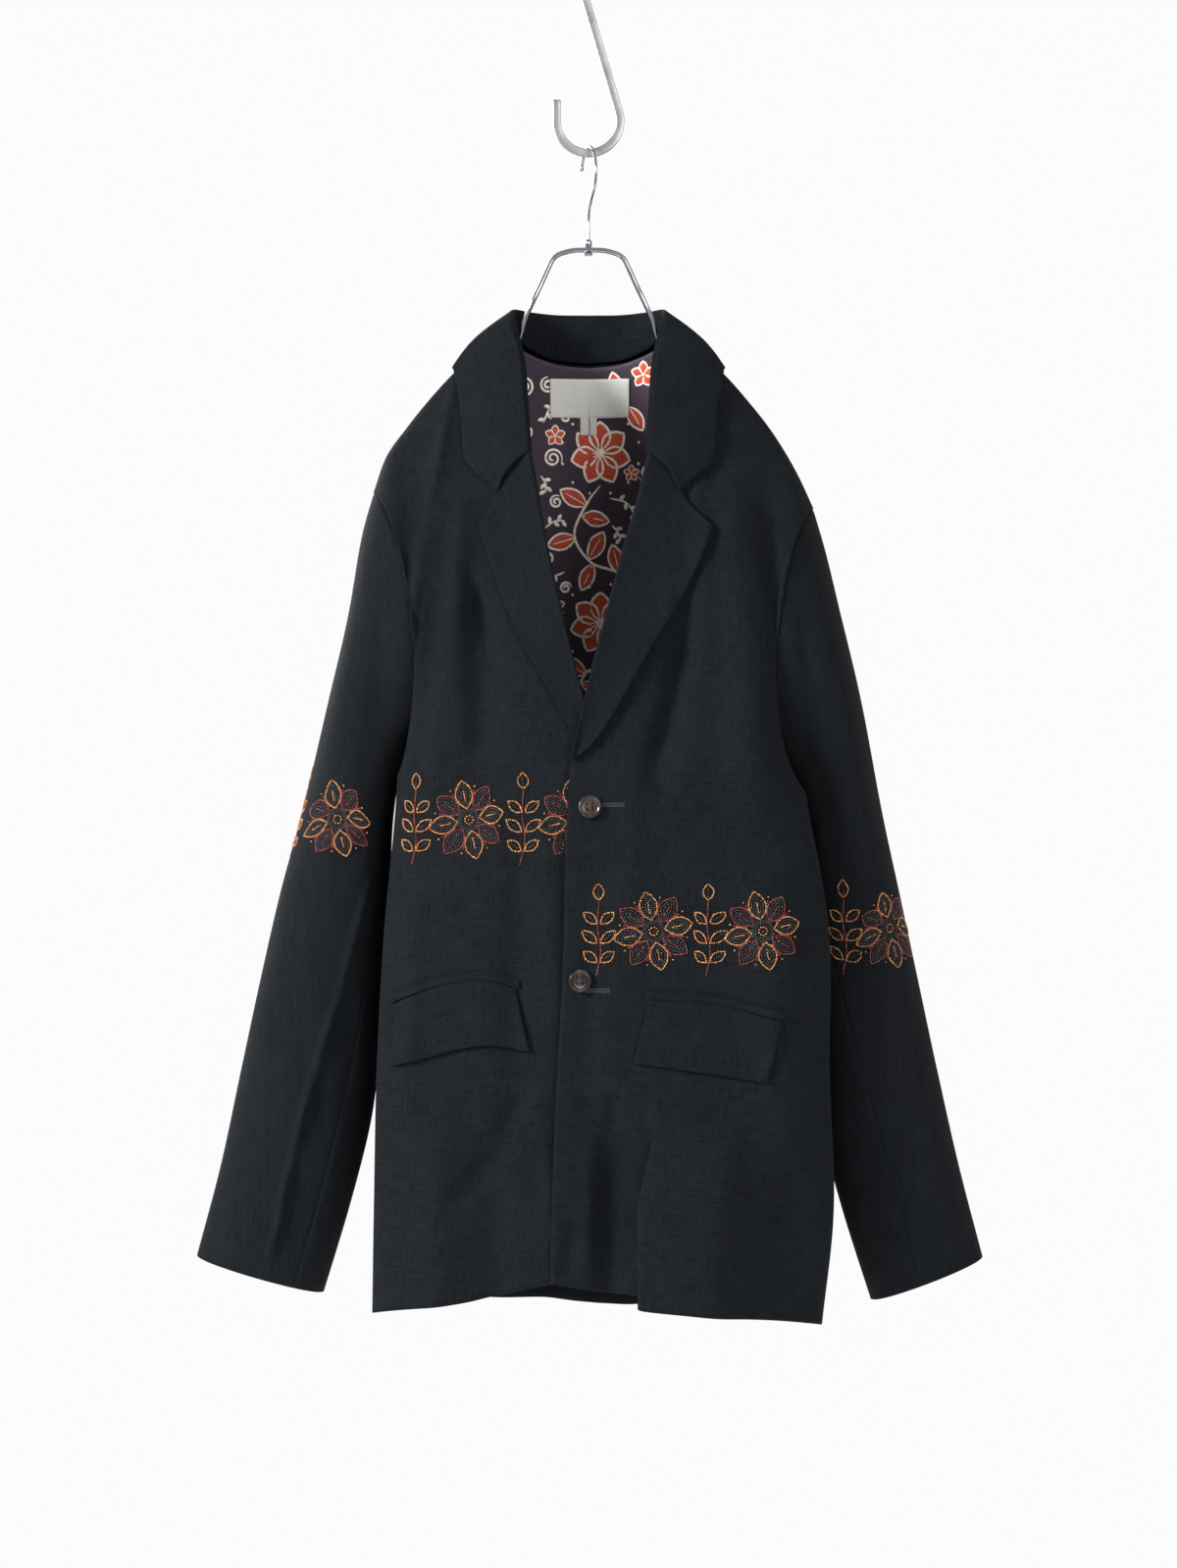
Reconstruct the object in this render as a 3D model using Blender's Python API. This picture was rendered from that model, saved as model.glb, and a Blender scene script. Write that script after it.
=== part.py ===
"""A two-button blazer hanging on a chrome hanger and a flat steel S-hook.

The origin is the inner top of the S-hook's upper bend, where a rail holds it. X runs to the viewer's right,
Y away from the viewer and Z up. Left and right are the wearer's, so the left front is at +X. All sizes below
are in millimetres, and a mesh is scaled to metres as it is made.
"""

from typing import NamedTuple

import bpy
import numpy as np

MM = 0.001

# Cloth
PANEL_WALL = 2.0
SLEEVE_WALL = 1.8
COLLAR_WALL = 1.8
FLAP_WALL = 1.6
LINING_WALL = 1.0
LABEL_WALL = 0.6
SEAM_HALF_GAP = 0.2
ARMHOLE_GAP = 1.3

# Wearer's sides, as the sign of X
RIGHT = -1
LEFT = 1

# Shares of a body panel's height
ARMPIT_SHARE = 0.5
TOP_BLEND_SHARE = 0.74
NECK_SHARE_OF_BACK = 0.66

# Plan of the body
BODY_SQUARENESS = 4.0
QUARTER_WIDE = 160.0
QUARTER_DEEP = 100.0
QUARTER_STEPS = 1201
RIDGE_FROM = 0.12
RIDGE_TO = 0.62
RIDGE_FADE = 0.17
SIDE_SEAM_Y = 5.0

# Rows and columns of the meshes
BODY_ROWS = 24
FRONT_COLUMNS = 16
FOLDED_COLUMNS = 22
CROWDED_FROM = (0.0, 0.4, 0.9, 1.0)
CROWDED_TO = (0.0, 0.55, 0.92, 1.0)
BACK_COLUMNS = 15
SLEEVE_ROWS = 12
SLEEVE_ROW_POWER = 1.15
SLEEVE_STEP = 15.0
FRONT_SEAM_AT_ARMHOLE = 150.0
FRONT_SEAM_AT_CUFF = {RIGHT: 124.0, LEFT: 98.0}
SEAM_SWING_FROM = 0.15
SEAM_SWING_OVER = 0.75
BACK_SEAM_ANGLE = 255.0


class SideLevel(NamedTuple):
    """One level of a side of the body, below the armpit."""

    share: float
    z: float
    seam_x: float
    front_ridge: float
    back_ridge: float


class EdgeLevel(NamedTuple):
    """One point of a panel's inner edge: a front edge, a roll line or the middle of the back."""

    share: float
    x: float
    y: float
    z: float


class SeamPoint(NamedTuple):
    """One point of a seam."""

    share: float
    x: float
    y: float
    z: float


class Armhole(NamedTuple):
    """The four ends of an armhole loop."""

    top: tuple
    bottom: tuple
    fore: tuple
    aft: tuple


class SleeveRing(NamedTuple):
    """One ring of a sleeve: its outer and inner ends and how far it reaches to the front and back."""

    share: float
    out_x: float
    out_z: float
    in_x: float
    in_z: float
    fore_y: float
    aft_y: float
    fore_shift: float
    aft_shift: float


class Fold(NamedTuple):
    """A soft ridge or, with a negative rise, a trough, on a front or back panel."""

    side: int
    face: str
    top_x: float
    top_z: float
    bottom_x: float
    bottom_z: float
    rise: float
    half_width: float


SIDES = {
    RIGHT: (
        SideLevel(0.00, -1140, -154, 27, 12),
        SideLevel(0.12, -1050, -153, 27, 12),
        SideLevel(0.25, -940, -152, 26, 11),
        SideLevel(0.38, -830, -151, 20, 8),
        SideLevel(0.50, -720, -150, 6, 2),
    ),
    LEFT: (
        SideLevel(0.00, -1149, 168, 30, 12),
        SideLevel(0.12, -1060, 173, 35, 12),
        SideLevel(0.25, -950, 172, 32, 11),
        SideLevel(0.38, -840, 169, 34, 8),
        SideLevel(0.50, -735, 165, 17, 2),
    ),
}

FRONT_EDGES = {
    RIGHT: (
        EdgeLevel(0.00, -12, -95, -1108),
        EdgeLevel(0.15, -2, -96, -1000),
        EdgeLevel(0.32, 12, -97, -860),
        EdgeLevel(0.45, 17, -97, -750),
        EdgeLevel(0.50, 12, -94, -708),
        EdgeLevel(0.56, -3, -88, -664),
        EdgeLevel(0.68, -28, -68, -562),
        EdgeLevel(0.84, -46, -40, -466),
        EdgeLevel(0.93, -59, -8, -398),
        EdgeLevel(1.00, -66, 14, -368),
    ),
    LEFT: (
        EdgeLevel(0.00, -29, -102, -1110),
        EdgeLevel(0.15, -26, -103, -1000),
        EdgeLevel(0.32, -19, -104, -860),
        EdgeLevel(0.45, -16, -104, -750),
        EdgeLevel(0.50, -13, -101, -712),
        EdgeLevel(0.56, -3, -95, -664),
        EdgeLevel(0.68, 22, -71, -564),
        EdgeLevel(0.84, 46, -41, -474),
        EdgeLevel(0.93, 60, -8, -398),
        EdgeLevel(1.00, 67, 14, -368),
    ),
}

BACK_MIDDLE = (
    EdgeLevel(0.00, 8, 92, -1152),
    EdgeLevel(0.25, 7, 95, -940),
    EdgeLevel(0.50, 4, 96, -724),
    EdgeLevel(0.70, 2, 90, -560),
    EdgeLevel(0.88, 0, 68, -440),
    EdgeLevel(1.00, 0, 50, -389),
)

SHOULDERS = {
    RIGHT: (
        SeamPoint(0.00, -171, 5, -494),
        SeamPoint(0.13, -162, 6, -468),
        SeamPoint(0.30, -145, 8, -443),
        SeamPoint(0.50, -124, 9, -417),
        SeamPoint(0.70, -104, 10, -396),
        SeamPoint(0.86, -84, 12, -380),
        SeamPoint(1.00, -66, 14, -368),
    ),
    LEFT: (
        SeamPoint(0.00, 179, 5, -507),
        SeamPoint(0.13, 167, 6, -481),
        SeamPoint(0.30, 149, 8, -450),
        SeamPoint(0.50, 126, 9, -420),
        SeamPoint(0.70, 104, 10, -396),
        SeamPoint(0.86, 84, 12, -380),
        SeamPoint(1.00, 67, 14, -368),
    ),
}

BACK_NECK = (
    SeamPoint(0.00, 66.5, 14, -368),
    SeamPoint(0.25, 60, 28, -374),
    SeamPoint(0.50, 46, 39, -381),
    SeamPoint(0.75, 25, 47, -387),
    SeamPoint(1.00, 0, 50, -389),
)

ARMHOLES = {
    RIGHT: Armhole((-171, 5, -494), (-150, 5, -720), (-137, -62, -600), (-150, 80, -600)),
    LEFT: Armhole((179, 5, -507), (165, 5, -735), (146, -62, -612), (158, 80, -612)),
}

SLEEVES = {
    RIGHT: (
        SleeveRing(0.00, -171, -494, -150, -720, -62, 80, 23, 10),
        SleeveRing(0.06, -180, -526, -153, -733, -60, 84, 11, 5),
        SleeveRing(0.15, -191, -590, -156, -757, -57, 86, 2, 0),
        SleeveRing(0.27, -207, -660, -158, -792, -55, 84, 0, 0),
        SleeveRing(0.40, -227, -745, -160, -838, -53, 80, 0, 0),
        SleeveRing(0.55, -246, -815, -163, -892, -50, 76, 0, 0),
        SleeveRing(0.68, -262, -885, -167, -947, -47, 70, 0, 0),
        SleeveRing(0.80, -277, -955, -175, -1003, -42, 63, 0, 0),
        SleeveRing(0.90, -293, -1030, -191, -1065, -36, 55, 0, 0),
        SleeveRing(1.00, -312, -1102, -211, -1131, -28, 46, 0, 0),
    ),
    LEFT: (
        SleeveRing(0.00, 179, -507, 165, -735, -62, 80, -26, -14),
        SleeveRing(0.06, 188, -538, 168, -748, -60, 84, -12, -7),
        SleeveRing(0.15, 201, -592, 171, -771, -57, 86, -2, 0),
        SleeveRing(0.27, 217, -660, 173, -803, -55, 84, 0, 0),
        SleeveRing(0.40, 233, -745, 176, -846, -53, 80, 0, 0),
        SleeveRing(0.55, 248, -815, 178, -897, -50, 76, 0, 0),
        SleeveRing(0.68, 263, -885, 181, -951, -47, 70, 0, 0),
        SleeveRing(0.80, 278, -955, 187, -1007, -42, 63, 0, 0),
        SleeveRing(0.90, 295, -1030, 203, -1068, -36, 55, 0, 0),
        SleeveRing(1.00, 314, -1103, 225, -1137, -28, 46, 0, 0),
    ),
}

FOLD_TOP_FADE = 0.3
FOLD_END = 1.35
FOLD_END_FADE = 0.35
FOLD_SEAM_FADE = 0.12

FOLDS = (
    Fold(RIGHT, "front", -108, -405, -140, -680, 5, 11),
    Fold(RIGHT, "front", -96, -470, -118, -700, 4, 12),
    Fold(RIGHT, "front", -84, -560, -80, -680, -5, 12),
    Fold(RIGHT, "front", -120, -960, -118, -1140, 4, 16),
    Fold(RIGHT, "front", -78, -990, -70, -1140, -4, 16),
    Fold(LEFT, "front", 112, -450, 128, -700, 9, 22),
    Fold(LEFT, "front", 78, -600, 54, -720, -5, 13),
    Fold(LEFT, "front", 134, -760, 150, -1000, 4, 20),
    Fold(LEFT, "front", 16, -990, 14, -1130, -6, 9),
    Fold(LEFT, "front", 110, -980, 96, -1140, 6, 20),
    Fold(RIGHT, "back", -112, -560, -128, -1160, 9, 20),
    Fold(RIGHT, "back", -70, -520, -78, -1160, -8, 18),
    Fold(RIGHT, "back", -36, -700, -34, -1160, 8, 17),
    Fold(LEFT, "back", 30, -640, 34, -1160, -9, 18),
    Fold(LEFT, "back", 74, -540, 80, -1160, 9, 20),
    Fold(LEFT, "back", 118, -620, 124, -1160, -7, 19),
)

# Steps of the search for a place on a panel
SEARCH_FROM_U = 0.3
SEARCH_LEAST_U = 0.2
SEARCH_COLUMNS = 29
SEARCH_ROWS = 61
SEARCH_ROUNDS = 12
SEARCH_MOST = 0.05
SEARCH_STEP = 1e-4
FACING_STEP = 1e-3

LAPEL_TOP_SHARE = 0.84
LAPEL_LOW_SHARE = 0.505
LAPEL_LIFT = 2.4
LAPEL_ROLL = 1.6
LAPEL_ROWS = 12
LAPEL_COLUMNS = 5


class LapelPoint(NamedTuple):
    """One point of a lapel's outer edge, from its tip down to the end of the roll line."""

    share: float
    x: float
    z: float


LAPELS = {
    RIGHT: (
        LapelPoint(0.00, -86, -525),
        LapelPoint(0.25, -69, -573),
        LapelPoint(0.45, -52, -614),
        LapelPoint(0.65, -32, -651),
        LapelPoint(0.85, -9, -690),
        LapelPoint(1.00, 9, -704),
    ),
    LEFT: (
        LapelPoint(0.00, 96, -528),
        LapelPoint(0.12, 84, -561),
        LapelPoint(0.25, 67, -590),
        LapelPoint(0.45, 43, -631),
        LapelPoint(0.70, 18, -675),
        LapelPoint(0.85, 3, -696),
        LapelPoint(1.00, -13, -709),
    ),
}


class CollarRow(NamedTuple):
    """One row of the collar's fall on the left half: its fold and its edge, which lies on the named panel."""

    share: float
    fold_x: float
    fold_y: float
    fold_z: float
    edge_x: float
    edge_z: float
    panel: str


COLLAR = (
    CollarRow(0.00, 46.0, -45.0, -466, 70, -499, "front"),
    CollarRow(0.14, 49.0, -29.0, -430, 94, -477, "front"),
    CollarRow(0.32, 53.0, -10.0, -388, 100, -434, "front"),
    CollarRow(0.46, 60.5, 2.0, -359, 105, -403, "front"),
    CollarRow(0.60, 61.0, 16.0, -350, 101, -399, "back"),
    CollarRow(0.76, 46.0, 33.0, -350, 74, -402, "back"),
    CollarRow(0.88, 26.0, 42.0, -351, 40, -407, "back"),
    CollarRow(1.00, 0.0, 45.0, -351, 0, -409, "back"),
)
COLLAR_LIFT = 3.2
COLLAR_SHOULDER_LIFT = 2.5
COLLAR_BULGE = 4.0
COLLAR_BULGE_UP = 0.6
COLLAR_CORNER_SHARE = 0.14
SHOULDER_SHARE = 0.53
SHOULDER_SPREAD = 0.07
COLLAR_COLUMNS = 4
COLLAR_STEPS = 12


class StandPoint(NamedTuple):
    """One point of the collar stand's foot on the left half, just inside the neck seam."""

    share: float
    x: float
    y: float
    z: float


STAND_FOOT = (
    StandPoint(0.30, 55.5, -7.0, -397),
    StandPoint(0.46, 62.0, 8.0, -372),
    StandPoint(0.60, 60.0, 20.0, -368),
    StandPoint(0.76, 46.0, 35.5, -378),
    StandPoint(0.88, 26.0, 43.5, -385),
    StandPoint(1.00, 0.0, 46.5, -387),
)
STAND_FROM = 0.30
STAND_INSET = 0.8
STAND_DROP = 1.5
STAND_ROWS = 3
STAND_LEAN_BACK = 10.0


class FlapPoint(NamedTuple):
    """The top and bottom of a pocket flap, from its outer end to the one near the front edge."""

    share: float
    top_x: float
    top_z: float
    bottom_x: float
    bottom_z: float


FLAPS = {
    RIGHT: (
        FlapPoint(0.00, -153, -898, -156, -945),
        FlapPoint(0.28, -126, -887, -126, -938),
        FlapPoint(0.55, -98, -880, -99, -931),
        FlapPoint(0.78, -77, -879, -76, -928),
        FlapPoint(1.00, -56, -885, -45, -933),
    ),
    LEFT: (
        FlapPoint(0.00, 148, -910, 137, -957),
        FlapPoint(0.50, 97, -897, 91, -949),
        FlapPoint(1.00, 47, -893, 35, -941),
    ),
}
FLAP_LIFT = 0.8
FLAP_SWELL = 1.6
FLAP_SWELL_SPAN = 1.6
FLAP_COLUMNS = 8
FLAP_ROWS = 3
WELT_TALL = 6.0
WELT_GAP = 0.6
WELT_OVERHANG = 3.0
WELT_LIFT = 0.8
WELT_WALL = 1.4

LINING_FROM = 0.5
LINING_LOW_SHARE = 0.022
LINING_TOP_SHARE = 0.975
LINING_SIDE_SHARE = 0.87
LINING_SLOPE_FROM = 0.55
LINING_SLOPE_OVER = 0.25
LINING_OFF = 2.3
LINING_ROWS = 14
LINING_COLUMNS = 7

LABEL_BOX = (-32.0, 34.0, -428.0, -398.0)
SIZE_TAB_BOX = (-7.0, 7.0, -442.0, -428.6)
LABEL_OFF = 1.1

# Buttons
BUTTON_ACROSS = 17.8
BUTTON_HOLE_ACROSS = 2.0
BUTTON_HOLE_PLACE = 2.7
BUTTON_SIDES = 20
PIN_FROM = -2.0
PIN_TO = 6.0
PIN_SIDES = 8
BUTTON_LIFT = 0.6


class ButtonPlace(NamedTuple):
    """Where a button sits on the left front."""

    name: str
    x: float
    z: float


BUTTONS = (
    ButtonPlace("button_upper", 1.0, -744.5),
    ButtonPlace("button_lower", -7.0, -878.0),
)
BUTTON_PROFILE = (
    (0.00, 0.0),
    (0.82, 0.0),
    (0.97, 0.9),
    (1.00, 2.4),
    (0.94, 3.5),
    (0.82, 3.6),
    (0.68, 2.7),
    (0.00, 2.4),
)

# Hanger
BAR_ACROSS = 4.0
BAR_SIDES = 8
BAR_BELOW_SEAM = 10.3
BAR_TOP_Z = -302.2


class BarPoint(NamedTuple):
    """One point of the hanger's bent neck, on the left half."""

    x: float
    y: float
    z: float


BAR_NECK = (
    BarPoint(0.0, 0.0, -302.2),
    BarPoint(16.0, 0.0, -303.4),
    BarPoint(27.0, 0.0, -308.0),
    BarPoint(32.0, 0.0, -317.0),
    BarPoint(37.0, 0.0, -328.0),
    BarPoint(45.5, 0.0, -346.0),
    BarPoint(50.5, 3.0, -357.0),
    BarPoint(54.0, 6.0, -369.0),
    BarPoint(59.0, 9.0, -380.0),
    BarPoint(67.0, 11.0, -385.5),
)
BAR_ARM_FROM = 0.18
BAR_ARM_TO = 0.84
BAR_ARM_POINTS = 9
BAR_RINGS = 27
BAR_TIP_SHARE = 0.55
FERRULE_ACROSS = 5.5
FERRULE_TALL = 5.2
FERRULE_SHOULDER = 0.8
FERRULE_NECK = 0.75
FERRULE_SIDES = 16
NUT_ACROSS = 6.4
NUT_TALL = 2.4
NUT_SIDES = 6
TOUCH_GAP = 0.3
WIRE_ACROSS = 2.4
WIRE_BALL_ACROSS = 3.8
WIRE_RADIUS = 21.2
WIRE_TURN = 16.0
WIRE_TIP_ANGLE = 166.0
WIRE_LOW_ANGLE = -50.0
WIRE_ARC_POINTS = 19
WIRE_RINGS = 28
WIRE_SIDES = 8
WIRE_TIP_ACROSS = 1.0


class TailPoint(NamedTuple):
    """One point of the wire between the arc's low end and the stem: how far forward it is and how far below that end."""

    forward: float
    below: float


WIRE_TAIL = (TailPoint(6.6, 6.5), TailPoint(1.8, 12.5), TailPoint(0.0, 20.0))
WIRE_BALL_PLACES = (0.0, 0.25, 0.6, 1.0, 1.4, 1.75, 2.0)

# S-hook
S_HOOK_INNER = 22.0
S_HOOK_BAR_WIDE = 6.5
S_HOOK_BAR_DEEP = 4.0
S_HOOK_LOW_Z = -200.0
S_HOOK_TIP = 17.0
S_HOOK_LEAN = 17.0
S_HOOK_BEND_RINGS = 23
S_HOOK_BEVEL = 0.8

# The deep fold on the left front, from the flap's corner to the hem: the outer part lies over the inner one
DEEP_FOLD_TOP_Z = -948.0
DEEP_FOLD_FULL_Z = -1060.0
DEEP_FOLD_X = 50.0
DEEP_FOLD_SPREAD = 20.0
DEEP_FOLD_REACH = 58.0
DEEP_FOLD_DEPTH = 24.0
DEEP_FOLD_TURN = 0.6
DEEP_FOLD_FADE_FROM = 1.0
DEEP_FOLD_FADE_OVER = 4.5


def smoothstep(value):
    """0 up to 0, 1 from 1 on, and a smooth rise between."""
    held = np.clip(value, 0.0, 1.0)
    return held * held * (3.0 - 2.0 * held)


def spline(knots, values, at):
    """Smooth curve through values at the knots, read at each place in at: cubic pieces with shared slopes."""
    knots = np.asarray(knots, float)
    values = np.asarray(values, float)
    at = np.asarray(at, float)
    slopes = np.gradient(values, knots, axis=0)
    left = np.clip(np.searchsorted(knots, at, side="right") - 1, 0, len(knots) - 2)
    span = knots[left + 1] - knots[left]
    part = (at - knots[left]) / span
    if values.ndim > 1:
        span = span[..., None]
        part = part[..., None]
    start = 2 * part**3 - 3 * part**2 + 1
    start_slope = part**3 - 2 * part**2 + part
    end_slope = part**3 - part**2
    return (
        start * values[left]
        + (1 - start) * values[left + 1]
        + span * (start_slope * slopes[left] + end_slope * slopes[left + 1])
    )


def read(table, at):
    """Each column of a table after its first, read smoothly at the given shares."""
    rows = np.array([tuple(row) for row in table], float)
    return spline(rows[:, 0], rows[:, 1:], at)


def stacked(x, y, z):
    return np.stack(np.broadcast_arrays(x, y, z), axis=-1).astype(float)


def loop_point(out, inward, fore, aft, angle):
    """A closed loop through four ends: angle 0 is out, 90 degrees fore, 180 inward and 270 aft."""
    out, inward, fore, aft = (np.asarray(end, float) for end in (out, inward, fore, aft))
    c = np.cos(np.radians(angle))[..., None]
    s = np.sin(np.radians(angle))[..., None]
    long_middle = (out + inward) / 2
    short_middle = (fore + aft) / 2
    middle = long_middle * (1 - s**2) + short_middle * s**2
    return middle + (out - inward) / 2 * c + (fore - aft) / 2 * s


def armhole_point(side, angle):
    hole = ARMHOLES[side]
    return loop_point(hole.top, hole.bottom, hole.fore, hole.aft, angle)


def outer_edge(side, face, v):
    """The side seam up to the armpit, then half of the armhole up to the shoulder."""
    level = read(SIDES[side], np.minimum(v, ARMPIT_SHARE))
    seam = stacked(level[..., 1], SIDE_SEAM_Y, level[..., 0])
    climb = np.clip((v - ARMPIT_SHARE) / (1 - ARMPIT_SHARE), 0.0, 1.0)
    turn = 180.0 * (1 - climb) if face == "front" else 180.0 + 180.0 * climb
    return np.where((v > ARMPIT_SHARE)[..., None], armhole_point(side, turn), seam)


def inner_edge(side, face, v):
    return read(FRONT_EDGES[side] if face == "front" else BACK_MIDDLE, v)


def top_edge(side, face, u):
    """The shoulder seam and, on the back, half of the neck seam after it."""
    if face == "front":
        return read(SHOULDERS[side], u)
    shoulder = read(SHOULDERS[side], np.minimum(u / NECK_SHARE_OF_BACK, 1.0))
    neck = read(BACK_NECK, np.clip((u - NECK_SHARE_OF_BACK) / (1 - NECK_SHARE_OF_BACK), 0.0, 1.0))
    neck = neck * np.array([side, 1, 1])
    return np.where((u > NECK_SHARE_OF_BACK)[..., None], neck, shoulder)


def even_quarter():
    """A squarish quarter turn as even lengths: shares of its length, and the shares across and forward there."""
    angle = np.pi / 4 * (1 - np.cos(np.linspace(0, np.pi, QUARTER_STEPS)))
    across = 1 - np.clip(np.cos(angle), 0, 1) ** (2 / BODY_SQUARENESS)
    forward = np.clip(np.sin(angle), 0, 1) ** (2 / BODY_SQUARENESS)
    pieces = np.hypot(np.diff(across) * QUARTER_WIDE, np.diff(forward) * QUARTER_DEEP)
    length = np.concatenate([[0], np.cumsum(pieces)])
    return length / length[-1], across, forward


QUARTER = even_quarter()


def plan_quarter(u):
    """Shares across and forward at shares u of a quarter turn's length, from the side to the middle."""
    return np.interp(u, QUARTER[0], QUARTER[1]), np.interp(u, QUARTER[0], QUARTER[2])


def deep_fold(points, side, face):
    """Moves the left front's points into its one deep fold."""
    if side != LEFT or face != "front":
        return points
    grown = smoothstep((DEEP_FOLD_TOP_Z - points[..., 2]) / (DEEP_FOLD_TOP_Z - DEEP_FOLD_FULL_Z))
    across = (points[..., 0] - DEEP_FOLD_X) / DEEP_FOLD_SPREAD
    moved = points.copy()
    moved[..., 0] -= DEEP_FOLD_REACH * grown * across * np.exp(-(across**2))
    near = (1 + np.tanh(across / DEEP_FOLD_TURN)) / 2
    back_to_side = 1 - smoothstep((across - DEEP_FOLD_FADE_FROM) / DEEP_FOLD_FADE_OVER)
    moved[..., 1] -= DEEP_FOLD_DEPTH * grown * near * back_to_side
    return moved


def fold_rise(side, face, points, u):
    """How far the soft folds lift each point, faded out at the seams."""
    rise = np.zeros(points.shape[:-1])
    for fold in FOLDS:
        if fold.side != side or fold.face != face:
            continue
        along = (points[..., 2] - fold.top_z) / (fold.bottom_z - fold.top_z)
        path = fold.top_x + (fold.bottom_x - fold.top_x) * along
        across = (points[..., 0] - path) / fold.half_width
        ends = smoothstep(along / FOLD_TOP_FADE) * smoothstep((FOLD_END - along) / FOLD_END_FADE)
        rise += fold.rise * ends * np.exp(-(across**2))
    return rise * smoothstep(u / FOLD_SEAM_FADE)


def body_surface(side, face, u, v):
    """Outer face of half the body's front or back.

    u runs from 0 at the side seam and armhole to 1 at the front edge or the middle of the back, and v from 0
    at the hem to 1 at the shoulder seam. Each row is a squarish quarter turn with a soft ridge at the body's
    corner, and the upper rows close onto the shoulder seam.
    """
    u, v = np.broadcast_arrays(np.asarray(u, float), np.asarray(v, float))
    outer = outer_edge(side, face, v)
    inner = inner_edge(side, face, v)
    across, forward = plan_quarter(u)
    arc = outer + (inner - outer) * stacked(across, forward, across)
    closing = smoothstep((v - TOP_BLEND_SHARE) / (1 - TOP_BLEND_SHARE))[..., None]
    end = np.ones_like(v)
    top = (
        top_edge(side, face, u)
        + (outer - outer_edge(side, face, end)) * ((1 - u) ** 2)[..., None]
        + (inner - inner_edge(side, face, end)) * (u**2)[..., None]
    )
    points = arc * (1 - closing) + top * closing
    ridge = read(SIDES[side], np.minimum(v, ARMPIT_SHARE))[..., 2 if face == "front" else 3]
    ridge = ridge * (1 - smoothstep((v - ARMPIT_SHARE) / RIDGE_FADE))
    at_corner = np.sin(np.pi * np.clip((u - RIDGE_FROM) / (RIDGE_TO - RIDGE_FROM), 0, 1)) ** 2
    points[..., 0] += side * ridge * at_corner
    away = -1 if face == "front" else 1
    points[..., 1] += away * fold_rise(side, face, points, u)
    points[..., 1] += away * SEAM_HALF_GAP
    return deep_fold(points, side, face)


def sleeve_surface(side, angle, s):
    """Outer face of a sleeve: angle 0 is its outer side and 90 degrees its front, s runs from armhole to cuff."""
    angle, s = np.broadcast_arrays(np.asarray(angle, float), np.asarray(s, float))
    ring = read(SLEEVES[side], s)
    out = stacked(ring[..., 0], SIDE_SEAM_Y, ring[..., 1])
    inward = stacked(ring[..., 2], SIDE_SEAM_Y, ring[..., 3])
    middle = (out + inward) / 2
    fore = stacked(middle[..., 0] + ring[..., 6], ring[..., 4], middle[..., 2])
    aft = stacked(middle[..., 0] + ring[..., 7], ring[..., 5], middle[..., 2])
    points = loop_point(out, inward, fore, aft, angle)
    points[..., 0] += side * ARMHOLE_GAP
    return points


def normals(grid, outward):
    """Unit normals of a grid of points, facing the given way at its middle."""
    across = np.gradient(grid, axis=1)
    along = np.gradient(grid, axis=0)
    face = np.cross(across, along)
    face /= np.linalg.norm(face, axis=-1, keepdims=True)
    middle = face[face.shape[0] // 2, face.shape[1] // 2]
    return face if middle @ np.asarray(outward, float) > 0 else -face


def material(name, colour, roughness, metallic=0.0):
    made = bpy.data.materials.new(name)
    made.use_nodes = True
    shader = made.node_tree.nodes["Principled BSDF"]
    shader.inputs["Base Color"].default_value = (*colour, 1.0)
    shader.inputs["Roughness"].default_value = roughness
    shader.inputs["Metallic"].default_value = metallic
    return made


def mesh_object(name, points, faces, surface, smooth=True):
    """An object from points in millimetres and faces, turned outward if its volume comes out negative."""
    points = np.asarray(points, float)
    volume = 0.0
    for face in faces:
        for second, third in zip(face[1:-1], face[2:]):
            volume += np.dot(points[face[0]], np.cross(points[second], points[third]))
    if volume < 0:
        faces = [tuple(reversed(face)) for face in faces]
    mesh = bpy.data.meshes.new(name)
    mesh.from_pydata((points * MM).tolist(), [], faces)
    mesh.materials.append(surface)
    if smooth:
        mesh.shade_smooth()
    made = bpy.data.objects.new(name, mesh)
    bpy.context.scene.collection.objects.link(made)
    return made


def wall(name, outer, inner, surface):
    """A closed wall between two grids of points with the same rows and columns."""
    rows, columns = outer.shape[:2]
    count = rows * columns
    index = np.arange(count).reshape(rows, columns)
    faces = []
    for r in range(rows - 1):
        for c in range(columns - 1):
            quad = (index[r, c], index[r, c + 1], index[r + 1, c + 1], index[r + 1, c])
            faces.append(tuple(int(i) for i in quad))
            faces.append(tuple(int(i) + count for i in reversed(quad)))
    border = np.concatenate(
        [index[0, :-1], index[:-1, -1], index[-1, :0:-1], index[:0:-1, 0]]
    )
    for a, b in zip(border, np.roll(border, -1)):
        faces.append((int(b), int(a), int(a) + count, int(b) + count))
    points = np.concatenate([outer.reshape(-1, 3), inner.reshape(-1, 3)])
    return mesh_object(name, points, faces, surface)


def body_wall(name, side, face, u, v, surface):
    """One front, as a wall with its inner face square to the outer one."""
    grid = body_surface(side, face, u[None, :], v[:, None])
    facing = normals(grid, (0, -1 if face == "front" else 1, 0))
    facing[-1] = seam_facing(facing[-1])
    facing[v <= ARMPIT_SHARE, 0] = seam_facing(facing[v <= ARMPIT_SHARE, 0])
    return wall(name, grid, grid - PANEL_WALL * facing, surface)


def seam_facing(facing):
    """Normals at a seam between front and back, kept in the plane across it so that the two rims meet flat."""
    level = facing * np.array([1.0, 0.0, 1.0])
    return level / np.linalg.norm(level, axis=-1, keepdims=True)


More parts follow.
